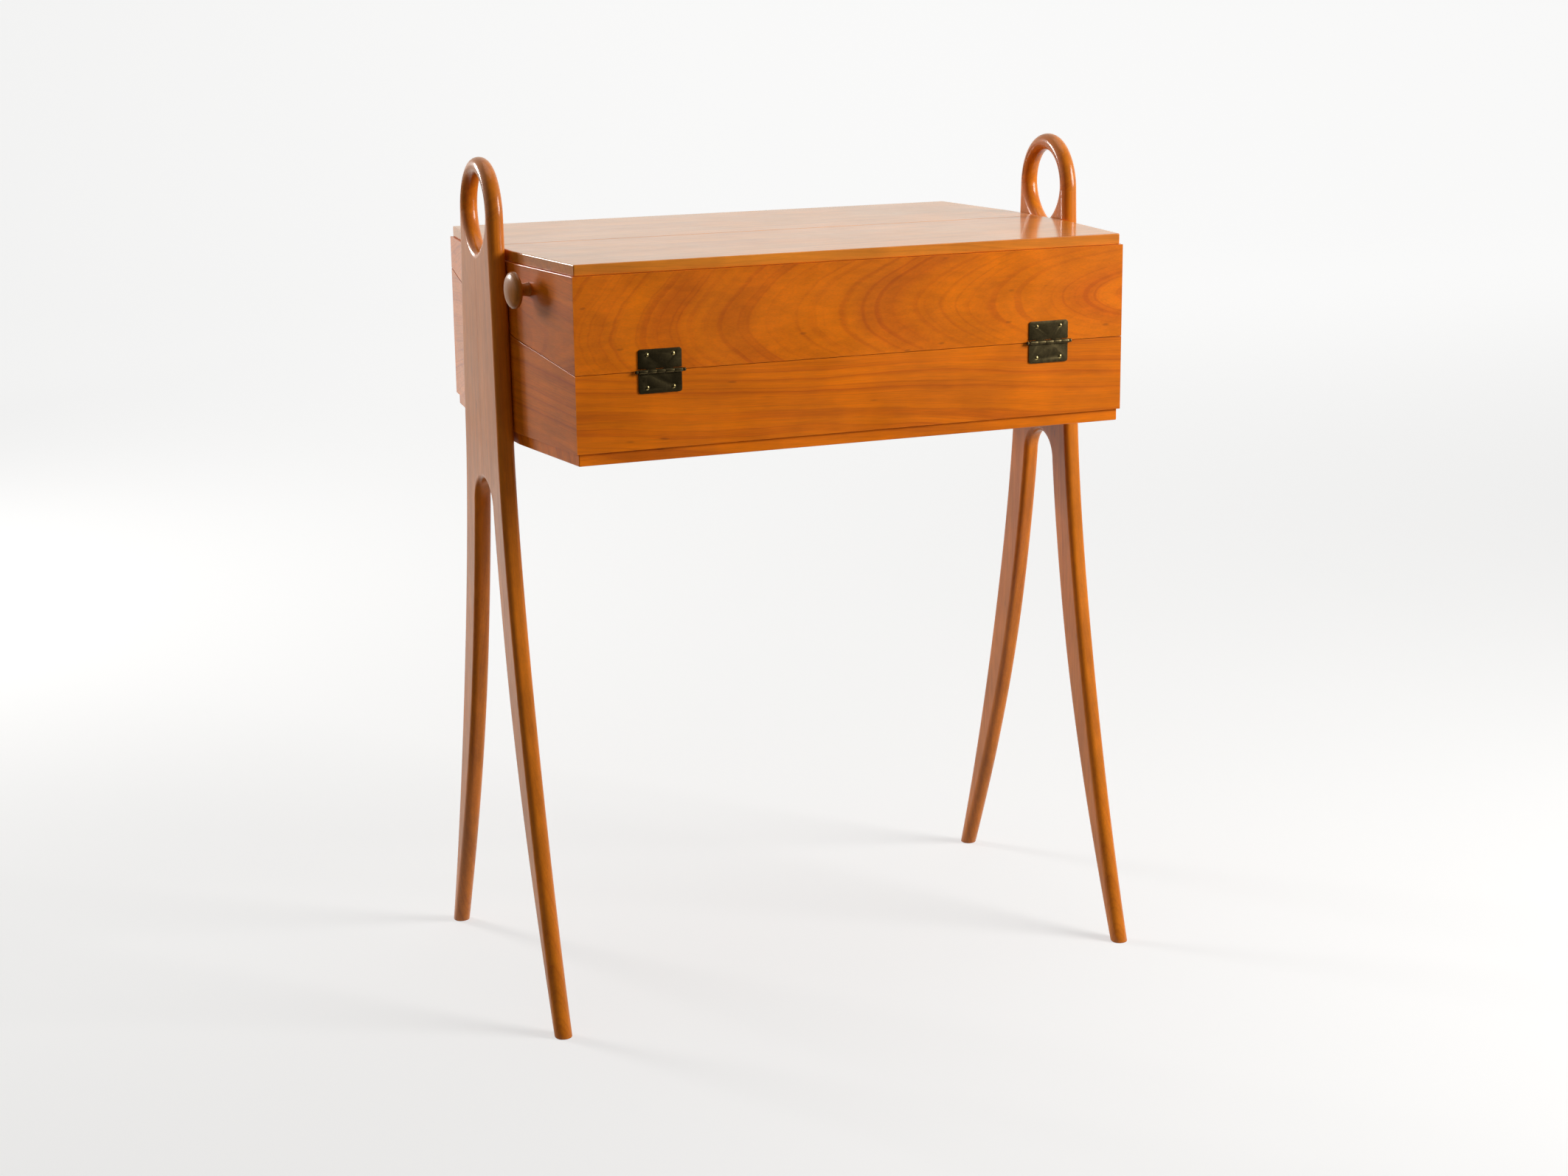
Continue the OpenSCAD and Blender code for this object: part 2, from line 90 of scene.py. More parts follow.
class NodeBench:
    """Places and links shader nodes in one node tree."""

    def __init__(self, tree: bpy.types.NodeTree) -> None:
        """Starts on a tree.

        Args:
            tree: The material's or the group's node tree.
        """
        self.tree = tree
        self.column = 0

    def fill(self, node: bpy.types.Node, values: Inputs) -> bpy.types.Node:
        """Sets or links inputs of a node.

        Args:
            node: The node.
            values: Values, or sockets to link from, by input name or number.

        Returns:
            The same node.
        """
        for name, value in values.items():
            if isinstance(value, Socket):
                self.tree.links.new(value, node.inputs[name])
            else:
                node.inputs[name].default_value = value
        return node

    def add(self, kind: str, values: Inputs | None = None, **settings: object) -> bpy.types.Node:
        """Adds one node.

        Args:
            kind: The node's Blender type, without the leading "ShaderNode".
            values: Values, or sockets to link from, by input name or number.
            settings: Properties set on the node itself.

        Returns:
            The new node.
        """
        node = self.tree.nodes.new(kind if kind.startswith("NodeGroup") else "ShaderNode" + kind)
        node.location = (200 * self.column, -60 * (self.column % 5))
        self.column += 1
        for name, setting in settings.items():
            setattr(node, name, setting)
        return self.fill(node, values or {})

    def math(self, operation: str, a: object, b: object = 0.0, clamp: bool = False) -> Socket:
        """Adds a Math node.

        Args:
            operation: The Math node's operation.
            a: First value or socket.
            b: Second value or socket.
            clamp: Whether the result is held between 0 and 1.

        Returns:
            The result's socket.
        """
        return self.add("Math", {0: a, 1: b}, operation=operation, use_clamp=clamp).outputs[0]

    def times(self, a: object, b: object, clamp: bool = False) -> Socket:
        """Multiplies two values."""
        return self.math("MULTIPLY", a, b, clamp)

    def plus(self, a: object, b: object, clamp: bool = False) -> Socket:
        """Adds two values."""
        return self.math("ADD", a, b, clamp)

    def most(self, a: object, b: object) -> Socket:
        """The larger of two values."""
        return self.math("MAXIMUM", a, b)

    def rest(self, share: object) -> Socket:
        """What a share leaves of one."""
        return self.math("SUBTRACT", 1.0, share)

    def vector(self, operation: str, a: object, b: object = (0.0, 0.0, 0.0)) -> bpy.types.Node:
        """Adds a Vector Math node.

        Args:
            operation: The Vector Math node's operation.
            a: First vector or socket.
            b: Second vector or socket.

        Returns:
            The new node.
        """
        return self.add("VectorMath", {0: a, 1: b}, operation=operation)

    def stretched(self, place: object, factors: Triple) -> Socket:
        """A position multiplied by a factor along each axis."""
        return self.vector("MULTIPLY", place, factors).outputs[0]

    def scaled(self, vector: object, factor: object) -> Socket:
        """A vector or colour multiplied by one value."""
        return self.add("VectorMath", {0: vector, 3: factor}, operation="SCALE").outputs[0]

    def noise(self, place: object, factors: Triple, detail: float, roughness: float = 0.5) -> bpy.types.Node:
        """Adds a Noise Texture in a stretched position.

        Args:
            place: The socket with the position.
            factors: Waves in each metre along each axis.
            detail: Octaves of the noise.
            roughness: Share that each finer octave keeps.

        Returns:
            The new node.
        """
        values = {"Vector": self.stretched(place, factors), "Scale": 1.0, "Detail": detail,
                  "Roughness": roughness}
        return self.add("TexNoise", values)

    def cloud(self, place: object, factors: Triple, detail: float, roughness: float = 0.5) -> Socket:
        """The value of a noise, with the same arguments."""
        return self.noise(place, factors, detail, roughness).outputs["Fac"]

    def ramp(self, value: object, low: float, high: float, to_low: float = 0.0,
             to_high: float = 1.0) -> Socket:
        """Maps a value smoothly from one range to another.

        Args:
            value: The socket or number mapped.
            low: Where the range starts.
            high: Where the range ends.
            to_low: Result at the start.
            to_high: Result at the end.

        Returns:
            The result's socket.
        """
        values = {"Value": value, "From Min": low, "From Max": high, "To Min": to_low, "To Max": to_high}
        return self.add("MapRange", values, interpolation_type="SMOOTHSTEP").outputs["Result"]

    def blend(self, share: object, first: object, second: object) -> Socket:
        """Mixes two colours.

        Args:
            share: How much of the second colour, as a number or socket.
            first: First colour or socket.
            second: Second colour or socket.

        Returns:
            The mixed colour's socket.
        """
        return self.add("Mix", {0: share, 6: first, 7: second}, data_type="RGBA").outputs[2]


class EffectGroup:
    """A shader node group that several materials share, built once."""

    def __init__(self, name: str, inputs: dict[str, tuple[str, object]], outputs: dict[str, str],
                 build: Callable[[NodeBench, bpy.types.Node], Inputs]) -> None:
        """Makes the group.

        Args:
            name: The group's name.
            inputs: Socket type and default by input name.
            outputs: Socket type by output name.
            build: Fills the group and returns the socket for each output.
        """
        self.tree = bpy.data.node_groups.new(name, "ShaderNodeTree")
        face = self.tree.interface
        for label, (kind, default) in inputs.items():
            socket = face.new_socket(name=label, in_out="INPUT", socket_type="NodeSocket" + kind)
            if default is not None:
                socket.default_value = default
        for label, kind in outputs.items():
            face.new_socket(name=label, in_out="OUTPUT", socket_type="NodeSocket" + kind)
        bench = NodeBench(self.tree)
        results = build(bench, bench.add("NodeGroupInput"))
        bench.add("NodeGroupOutput", results)

    def place(self, bench: NodeBench, values: Inputs) -> bpy.types.Node:
        """Adds the group to a material.

        Args:
            bench: The material's bench.
            values: Values or sockets for the group's inputs.

        Returns:
            The group's node.
        """
        return bench.add("Group", values, node_tree=self.tree)


def grow_cherry(bench: NodeBench, given: bpy.types.Node) -> Inputs:
    """Fills the cherry grain group: rings about the X axis, fibres, pores, flecks and mottling.

    Args:
        bench: The group's bench.
        given: The group's input node, with Vector in metres and X along the grain.

    Returns:
        The sockets for the group's outputs.
    """
    place, wander = given.outputs["Vector"], given.outputs["Wander"]
    bent = place
    for factors, reach in (((2.6, 9.0, 9.0), wander), ((14.0, 60.0, 60.0), bench.times(wander, 0.12))):
        stray = bench.vector("SUBTRACT", bench.noise(place, factors, 2.0).outputs["Color"], (0.5, 0.5, 0.5))
        bent = bench.vector("ADD", bent, bench.scaled(stray.outputs[0], reach)).outputs[0]
    radius = bench.vector("LENGTH", bench.stretched(bent, (0.0, 1.0, 1.0))).outputs["Value"]
    turns = bench.math("DIVIDE", radius, given.outputs["Ring Width"])
    years, lines = (bench.add("TexNoise", {"W": turns, "Scale": scale, "Detail": detail, "Roughness": rough},
                              noise_dimensions="1D").outputs["Fac"]
                    for scale, detail, rough in ((1.0, 1.0, 0.5), (5.3, 2.0, 0.6)))
    bands, fine = bench.ramp(years, 0.42, 0.68), bench.ramp(lines, 0.48, 0.70)
    strength = bench.ramp(bench.cloud(place, (5.0, 22.0, 22.0), 1.0), 0.3, 0.62, 0.45, 1.0)
    rings = bench.times(bench.plus(bench.times(bands, 0.62), bench.times(fine, 0.5), True), strength)
    fibre = bench.cloud(place, (55.0, 1300.0, 1300.0), 3.0, 0.6)
    streak = bench.cloud(place, (9.0, 210.0, 210.0), 3.0, 0.55)
    mottle = bench.cloud(place, (13.0, 20.0, 20.0), 3.0, 0.55)
    pore = bench.ramp(bench.cloud(place, (330.0, 5200.0, 5200.0), 1.0), 0.63, 0.78)
    cells = bench.add("TexVoronoi", {"Vector": bench.stretched(bent, (30.0, 120.0, 120.0)), "Scale": 1.0})
    chance = bench.add("SeparateColor", {0: cells.outputs["Color"]}).outputs[0]
    rare = bench.times(bench.math("GREATER_THAN", chance, 0.9), given.outputs["Flecks"])
    fleck = bench.times(bench.ramp(cells.outputs["Distance"], 0.20, 0.05), rare)
    body = bench.blend(bench.times(rings, given.outputs["Contrast"], True),
                       given.outputs["Light"], given.outputs["Dark"])
    shade = bench.times(bench.ramp(mottle, 0.25, 0.75, 0.86, 1.13), bench.ramp(streak, 0.3, 0.7, 1.06, 0.93))
    shade = bench.times(shade, bench.ramp(fibre, 0.3, 0.75, 1.05, 0.92))
    shade = bench.times(shade, bench.rest(bench.times(pore, 0.13)))
    hollow = bench.plus(bench.times(pore, 0.8), bench.times(rings, 0.3))
    return {
        "Color": bench.blend(bench.times(fleck, 0.6), bench.scaled(body, shade), FLECK),
        "Roughness": bench.plus(bench.ramp(fibre, 0.3, 0.7, -0.035, 0.045), bench.times(rings, 0.035)),
        "Height": bench.math("SUBTRACT", bench.times(fibre, 0.7), hollow),
    }


def wear_edges(bench: NodeBench, given: bpy.types.Node) -> Inputs:
    """Fills the edge wear group: a broken mask along the corners of a piece.

    Args:
        bench: The group's bench.
        given: The group's input node.

    Returns:
        The socket for the group's output.
    """
    soft = bench.add("Bevel", {"Radius": given.outputs["Reach"]}, samples=6).outputs[0]
    flat = bench.add("NewGeometry").outputs["True Normal"]
    bend = bench.rest(bench.vector("DOT_PRODUCT", soft, flat).outputs["Value"])
    broken = bench.ramp(bench.cloud(given.outputs["Vector"], (90.0, 90.0, 90.0), 3.0), 0.38, 0.62, 0.25, 1.0)
    return {"Mask": bench.times(bench.ramp(bend, 0.03, 0.3), broken, True)}


def handle_marks(bench: NodeBench, given: bpy.types.Node) -> Inputs:
    """Fills the handling group: faint smears and fine random scratches that change the gloss.

    Args:
        bench: The group's bench.
        given: The group's input node.

    Returns:
        The sockets for the group's outputs.
    """
    place = given.outputs["Vector"]
    smear = bench.ramp(bench.cloud(place, (11.0, 11.0, 11.0), 4.0, 0.6), 0.3, 0.7, -0.05, 0.06)
    slant = bench.add("VectorRotate", {"Vector": place, "Angle": 0.6}, rotation_type="X_AXIS").outputs[0]
    mark = bench.ramp(bench.cloud(slant, (60.0, 2200.0, 90.0), 2.0), 0.66, 0.78)
    gloss = bench.times(bench.plus(smear, bench.times(mark, 0.06)), given.outputs["Amount"])
    return {"Roughness": gloss, "Marks": mark}


@dataclass
class Effects:
    """The node groups that the finishes share.

    Attributes:
        grain: Cherry wood.
        wear: Rubbed corners.
        marks: Smears and scratches.
    """

    grain: EffectGroup = field(default_factory=lambda: EffectGroup(
        "cherry_grain",
        {"Vector": ("Vector", None), "Ring Width": ("Float", 0.008), "Wander": ("Float", 0.02),
         "Contrast": ("Float", 0.6), "Flecks": ("Float", 1.0), "Light": ("Color", (0.7, 0.25, 0.04, 1.0)),
         "Dark": ("Color", (0.4, 0.1, 0.01, 1.0))},
        {"Color": "Color", "Roughness": "Float", "Height": "Float"}, grow_cherry))
    wear: EffectGroup = field(default_factory=lambda: EffectGroup(
        "edge_wear", {"Vector": ("Vector", None), "Reach": ("Float", 0.0012)}, {"Mask": "Float"}, wear_edges))
    marks: EffectGroup = field(default_factory=lambda: EffectGroup(
        "handling_marks", {"Vector": ("Vector", None), "Amount": ("Float", 1.0)},
        {"Roughness": "Float", "Marks": "Float"}, handle_marks))


# ---------------------------------------------------------------------------
# Finishes
# ---------------------------------------------------------------------------


def blank_material(name: str) -> tuple[bpy.types.Material, NodeBench, bpy.types.Node]:
    """Makes a material with only its shader.

    Args:
        name: The material's name.

    Returns:
        The material, the bench of its nodes and its Principled BSDF.
    """
    made = bpy.data.materials.new(name)
    made.use_nodes = True
    return made, NodeBench(made.node_tree), made.node_tree.nodes["Principled BSDF"]


class Grain(Enum):
    """Which way the grain of a piece runs, as the turn that brings X onto it, in degrees."""

    LENGTHWISE = (0.0, 0.0, 0.0)
    UPRIGHT = (0.0, -90.0, 0.0)
    CROSSWISE = (0.0, 0.0, 90.0)


@dataclass(frozen=True)
class Plank:
    """How a piece was cut from its log.

    Attributes:
        grain: Which way the grain runs.
        heart: A point on the log's axis, in mm.
        lean: Turn of the axis away from the grain's way, in degrees about X, Y and Z.
        ring: Width of a broad band of rings, in mm.
        wander: How far the rings stray, in mm.
    """

    grain: Grain = Grain.LENGTHWISE
    heart: Triple = (0.0, 0.0, 0.0)
    lean: Triple = (0.0, 0.0, 0.0)
    ring: float = 12.0
    wander: float = 22.0


@dataclass(frozen=True)
class CherryFinish:
    """Oiled and waxed cherry.

    Attributes:
        slot: The record's material slot.
        light: Colour of the broad pale wood.
        dark: Colour of the ring lines.
        contrast: How strongly the rings show.
        roughness: Mean roughness of the wood.
        coat: Weight of the clear coat.
        coat_roughness: Roughness of the clear coat.
        worn: Colour of the rubbed corners.
        flecks: How strongly the dark flecks show.
        wear_reach: How far a rubbed corner reaches, in mm.
        relief: Depth of the pores and rings, in mm.
    """

    slot: str
    light: Colour
    dark: Colour
    contrast: float = 0.62
    roughness: float = 0.42
    coat: float = 0.62
    coat_roughness: float = 0.15
    worn: Colour = (0.78, 0.30, 0.04, 1.0)
    flecks: float = 0.55
    wear_reach: float = 1.3
    relief: float = 0.05

    def material(self, name: str, effects: Effects, plank: Plank) -> bpy.types.Material:
        """Makes the material of one plank.

        Args:
            name: Name of the piece.
            effects: The shared node groups.
            plank: How the piece was cut.

        Returns:
            The material.
        """
        made, bench, shader = blank_material("cherry_" + name)
        place = bench.add("TexCoord").outputs["Object"]
        turn = tuple(math.radians(a + b) for a, b in zip(plank.grain.value, plank.lean))
        log = bench.add("Mapping", {"Vector": place, "Location": Vector(plank.heart) * MM, "Rotation": turn},
                        vector_type="TEXTURE").outputs[0]
        grain = effects.grain.place(bench, {
            "Vector": log, "Ring Width": plank.ring * MM, "Wander": plank.wander * MM,
            "Contrast": self.contrast, "Flecks": self.flecks, "Light": self.light, "Dark": self.dark}).outputs
        wear = effects.wear.place(bench, {"Vector": place, "Reach": self.wear_reach * MM}).outputs
        marks = effects.marks.place(bench, {"Vector": place, "Amount": 1.0}).outputs
        bump = bench.add("Bump", {"Strength": 0.22, "Distance": self.relief * MM, "Height": grain["Height"]})
        bench.fill(shader, {
            "Base Color": bench.blend(bench.times(wear["Mask"], 0.4), grain["Color"], self.worn),
            "Roughness": bench.plus(bench.plus(self.roughness, grain["Roughness"]), marks["Roughness"]),
            "Normal": bump.outputs[0],
            "Specular IOR Level": 0.15,
            "Coat Weight": self.coat,
            "Coat Roughness": self.coat_roughness,
            "Coat IOR": 1.45,
        })
        return made


@dataclass(frozen=True)
class MetalFinish:
    """Old metal with a patina that is rubbed off at its corners.

    Attributes:
        slot: The record's material slot.
        patina: Colour of the tarnished surface.
        stain: Colour of the deeper stains.
        bright: Colour of the bare metal at rubbed corners.
        roughness: Mean roughness.
        rub: How much bare metal shows at the corners.
        wear_reach: How far a rubbed corner reaches, in mm.
        relief: Depth of the pitting, in mm.
    """

    slot: str
    patina: Colour
    stain: Colour
    bright: Colour
    roughness: float = 0.36
    rub: float = 0.5
    wear_reach: float = 0.45
    relief: float = 0.03

    def material(self, name: str, effects: Effects) -> bpy.types.Material:
        """Makes the material.

        Args:
            name: Name of the finish.
            effects: The shared node groups.

        Returns:
            The material.
        """
        made, bench, shader = blank_material("metal_" + name)
        place = bench.add("TexCoord").outputs["Object"]
        cloud = bench.cloud(place, (260.0, 260.0, 260.0), 4.0, 0.6)
        pits = bench.cloud(place, (2600.0, 2600.0, 2600.0), 2.0)
        close = bench.stretched(place, (6.0, 6.0, 6.0))
        wear = effects.wear.place(bench, {"Vector": close, "Reach": self.wear_reach * MM}).outputs
        marks = effects.marks.place(bench, {"Vector": place, "Amount": 1.6}).outputs
        tone = bench.blend(bench.ramp(cloud, 0.35, 0.68), self.patina, self.stain)
        rubbed = bench.plus(bench.times(wear["Mask"], self.rub), bench.times(marks["Marks"], 0.12), True)
        bump = bench.add("Bump", {"Strength": 0.3, "Distance": self.relief * MM,
                                  "Height": bench.plus(bench.times(pits, 0.6), cloud)})
        bench.fill(shader, {
            "Base Color": bench.blend(rubbed, tone, self.bright),
            "Roughness": bench.plus(bench.plus(self.roughness, marks["Roughness"]),
                                    bench.ramp(cloud, 0.3, 0.7, -0.06, 0.1)),
            "Normal": bump.outputs[0],
            "Metallic": 1.0,
        })
        return made


PANEL = CherryFinish("cherry_panel", (0.81, 0.186, 0.001, 1.0), (0.47, 0.066, 0.001, 1.0), contrast=0.66)
# The lid tops take a paler, yellower copy of the panel cherry: that extra paleness is painted sheen standing
# in for the glare on the tops, beside the real reflection of their stronger coat.
TOP_WITH_PAINTED_SHEEN = CherryFinish("cherry_panel", (0.78, 0.245, 0.018, 1.0), (0.54, 0.13, 0.008, 1.0), contrast=0.6,
                   coat=0.9)
FRAME = CherryFinish("cherry_frame", (0.68, 0.185, 0.006, 1.0), (0.44, 0.090, 0.003, 1.0), contrast=0.5)
INSIDE = CherryFinish("cherry_inside", (0.74, 0.29, 0.045, 1.0), (0.50, 0.15, 0.015, 1.0), contrast=0.6,
                      roughness=0.55, coat=0.12, coat_roughness=0.4, worn=(0.76, 0.36, 0.08, 1.0))
KNOB = CherryFinish("cherry_knob", (0.50, 0.16, 0.012, 1.0), (0.30, 0.075, 0.006, 1.0), contrast=0.7,
                    coat=0.4)
HINGE = MetalFinish("hinge_patina", (0.115, 0.088, 0.040, 1.0), (0.050, 0.038, 0.018, 1.0),
                    (0.38, 0.30, 0.15, 1.0), roughness=0.4, rub=0.4)
BRASS = MetalFinish("brass", (0.44, 0.34, 0.14, 1.0), (0.22, 0.165, 0.065, 1.0),
                    (0.80, 0.66, 0.36, 1.0), roughness=0.24, rub=0.5)


# ---------------------------------------------------------------------------
# Sizes
# ---------------------------------------------------------------------------


@dataclass(frozen=True)
class Design:
    """Sizes that several sub-assemblies share, in mm, as in the part's source.

    Attributes:
        box_l: Length of the box along its long walls.
        box_w: Depth of the box from front to back.
        end_rise: How far the flat middle of an end stands out past the long walls' ends.
        end_flat: Width of that flat middle.
        frame_t: Thickness of a leg frame.
        box_base_z: Height of the walls' lower edges.
        wall_top_z: Height of the walls' upper edges.
        front_cut_z: Height of the front hinges' axis.
        back_cut_z: Height of the back hinges' axis.
        handle_joint_z: Height where the handles are glued on.
    """

    box_l: float = 540.0
    box_w: float = 378.0
    end_rise: float = 15.0
    end_flat: float = 116.0
    frame_t: float = 16.0
    box_base_z: float = 535.0
    wall_top_z: float = 701.0
    front_cut_z: float = 615.0
    back_cut_z: float = 670.0
    handle_joint_z: float = 738.0

    @property
    def end_x(self) -> float:
        """Distance from the middle to the flat middle of an end."""
        return self.box_l / 2 + self.end_rise

    @property
    def frame_mid_x(self) -> float:
        """Distance from the middle to the middle of a leg frame."""
        return self.end_x + self.frame_t / 2

    @property
    def end_slope(self) -> float:
        """Slope of an end's angled half."""
        return self.end_rise / (self.box_w / 2 - self.end_flat / 2)


# ---------------------------------------------------------------------------
# Shared mesh work
# ---------------------------------------------------------------------------


def as_object(name: str, mesh: Mesh) -> bpy.types.Object:
    """Puts a mesh in the scene.

    Args:
        name: The object's name.
        mesh: Its mesh in metres, which is freed.

    Returns:
        The object, at the origin.
    """
    data = bpy.data.meshes.new(name)
    mesh.to_mesh(data)
    mesh.free()
    thing = bpy.data.objects.new(name, data)
    bpy.context.scene.collection.objects.link(thing)
    return thing


def spread(low: float, high: float, steps: int) -> list[float]:
    """Values from low to high in equal steps, with both ends."""
    return [low + (high - low) * i / steps for i in range(steps + 1)]


def smoothstep(low: float, high: float, value: float) -> float:
    """Goes smoothly from 0 at low to 1 at high."""
    share = min(max((value - low) / (high - low), 0.0), 1.0)
    return share * share * (3 - 2 * share)


def rounded(centre: Point, radius: float, start: float, stop: float, steps: int) -> list[Point]:
    """Points of a rounded corner of a profile.

    Args:
        centre: Centre of the rounding, in mm.
        radius: Its radius, in mm.
        start: Angle of its first point, in degrees.
        stop: Angle of its last point, in degrees.
        steps: Steps along it.

    Returns:
        The points.
    """
    angles = [math.radians(a) for a in spread(start, stop, steps)]
    return [(centre[0] + radius * math.cos(a), centre[1] + radius * math.sin(a)) for a in angles]


def turned(profile: list[Point], steps: int) -> Mesh:
    """Turns a profile about Z, as on a lathe.

    Args:
        profile: Radius and height of each point, in mm, from one end of the axis to the other.
        steps: Steps round the turn.

    Returns:
        The closed mesh in metres.
    """
    mesh = bmesh.new()
    points = [mesh.verts.new((r * MM, 0.0, z * MM)) for r, z in profile]
    line = [mesh.edges.new(pair) for pair in zip(points, points[1:])]
    bmesh.ops.spin(mesh, geom=points + line, axis=(0, 0, 1), cent=(0, 0, 0), dvec=(0, 0, 0),
                   angle=2 * math.pi, steps=steps, use_merge=True)
    bmesh.ops.remove_doubles(mesh, verts=mesh.verts, dist=0.001 * MM)
    bmesh.ops.recalc_face_normals(mesh, faces=mesh.faces)
    return mesh


def ease(mesh: Mesh, edges: list[bmesh.types.BMEdge], width: float, segments: int) -> None:
    """Bevels edges into a small round.

    Args:
        mesh: The mesh.
        edges: Its edges that are eased.
        width: Width of the round, in mm.
        segments: Steps across it.
    """
    bmesh.ops.bevel(mesh, geom=edges, offset=width * MM, offset_type="OFFSET", affect="EDGES",
                    segments=segments, profile=0.5, material=-1, clamp_overlap=True)


def aimed(place: Vector, away: Vector, spin: float = 0.0) -> Matrix:
    """The move that brings a piece made up Z to its place.

    Args:
        place: Where its origin goes, in metres.
        away: The way that its Z axis then looks.
        spin: Turn about that axis, in degrees.

    Returns:
        The matrix.
    """
    turn = away.to_track_quat("Z", "Y").to_matrix().to_4x4()
    return Matrix.Translation(place) @ (turn @ Matrix.Rotation(math.radians(spin), 4, "Z"))


class Workshop:
    """Turns meshes into finished pieces."""

    def __init__(self, frame: dict[str, object], design: Design) -> None:
        """Opens the workshop.

        Args:
            design: The shared sizes.
        """
        self.frame = frame
        self.design = design
        self.effects = Effects()
        self.metals = {finish: finish.material(finish.slot, self.effects) for finish in (HINGE, BRASS)}

    def finish(self, name: str, mesh: Mesh, body: str, stands_for: Iterable[str],
               finish: CherryFinish | MetalFinish, plank: Plank | None = None,
               smooth_below: float | None = None) -> bpy.types.Object:
        """Makes an object of a mesh, dresses it and joins it to its body.

        Args:
            name: Name of the piece.
            mesh: Its mesh in metres, which is freed.
            body: The body that it rides on.
            stands_for: CAD nodes that it replaces.
            finish: The finish that it gets.
            plank: How a wooden piece was cut.
            smooth_below: Angle in degrees below which edges are shaded smooth, or None for flat faces.

        Returns:
            The finished object.
        """
        piece = as_object(name, mesh)
        data = piece.data
        if smooth_below is None:
            data.shade_flat()
        else:
            data.shade_smooth()
            data.set_sharp_from_angle(angle=math.radians(smooth_below))
        if isinstance(finish, MetalFinish):
            data.materials.append(self.metals[finish])
        else:
            data.materials.append(finish.material(name, self.effects, plank or Plank()))
        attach(piece, body)
        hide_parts(*stands_for)
        LOG.info("%s: %d faces on %s, %s", name, len(data.polygons), body, finish.slot)
        return piece

    def copy(self, node: str) -> Mesh:
        """Copies a CAD node's mesh, with its loose triangles merged.

        Args:
            node: The CAD node's name.

        Returns:
            The merged copy.
        """
        mesh = bmesh.new()
        mesh.from_mesh(self.frame["nodes"][node].data)
        bmesh.ops.remove_doubles(mesh, verts=mesh.verts, dist=0.002 * MM)
        return mesh

    def eased(self, node: str, width: float, segments: int = 3) -> Mesh:
        """Copies a CAD node's mesh and eases its sharp edges.

        Args:
            node: The CAD node's name.
            width: Width of the eased edge, in mm.
            segments: Steps across the eased edge.

        Returns:
            The eased mesh.
        """
        mesh = self.copy(node)
        bmesh.ops.dissolve_limit(mesh, angle_limit=math.radians(0.4), verts=mesh.verts, edges=mesh.edges)
        sharp = math.radians(35)
        edges = [e for e in mesh.edges if len(e.link_faces) == 2 and e.calc_face_angle(0.0) > sharp]
        ease(mesh, edges, width, segments)
        return mesh


# ---------------------------------------------------------------------------
# Leg frames
# ---------------------------------------------------------------------------


@dataclass(frozen=True)
class Station:
    """One place along a leg or ring, where its section goes from its outer to its inner edge.

    Attributes:
        outer: The outer edge's point as Y and Z, in mm.
        inner: The inner edge's point as Y and Z, in mm.
        outer_in: Unit vector from the outer edge into the wood.
        inner_in: Unit vector from the inner edge into the wood.
        outer_r: Rounding of the outer edge, in mm.
        inner_r: Rounding of the inner edge, in mm.
    """

    outer: Point
    inner: Point
    outer_in: Point
    inner_in: Point
    outer_r: float
    inner_r: float


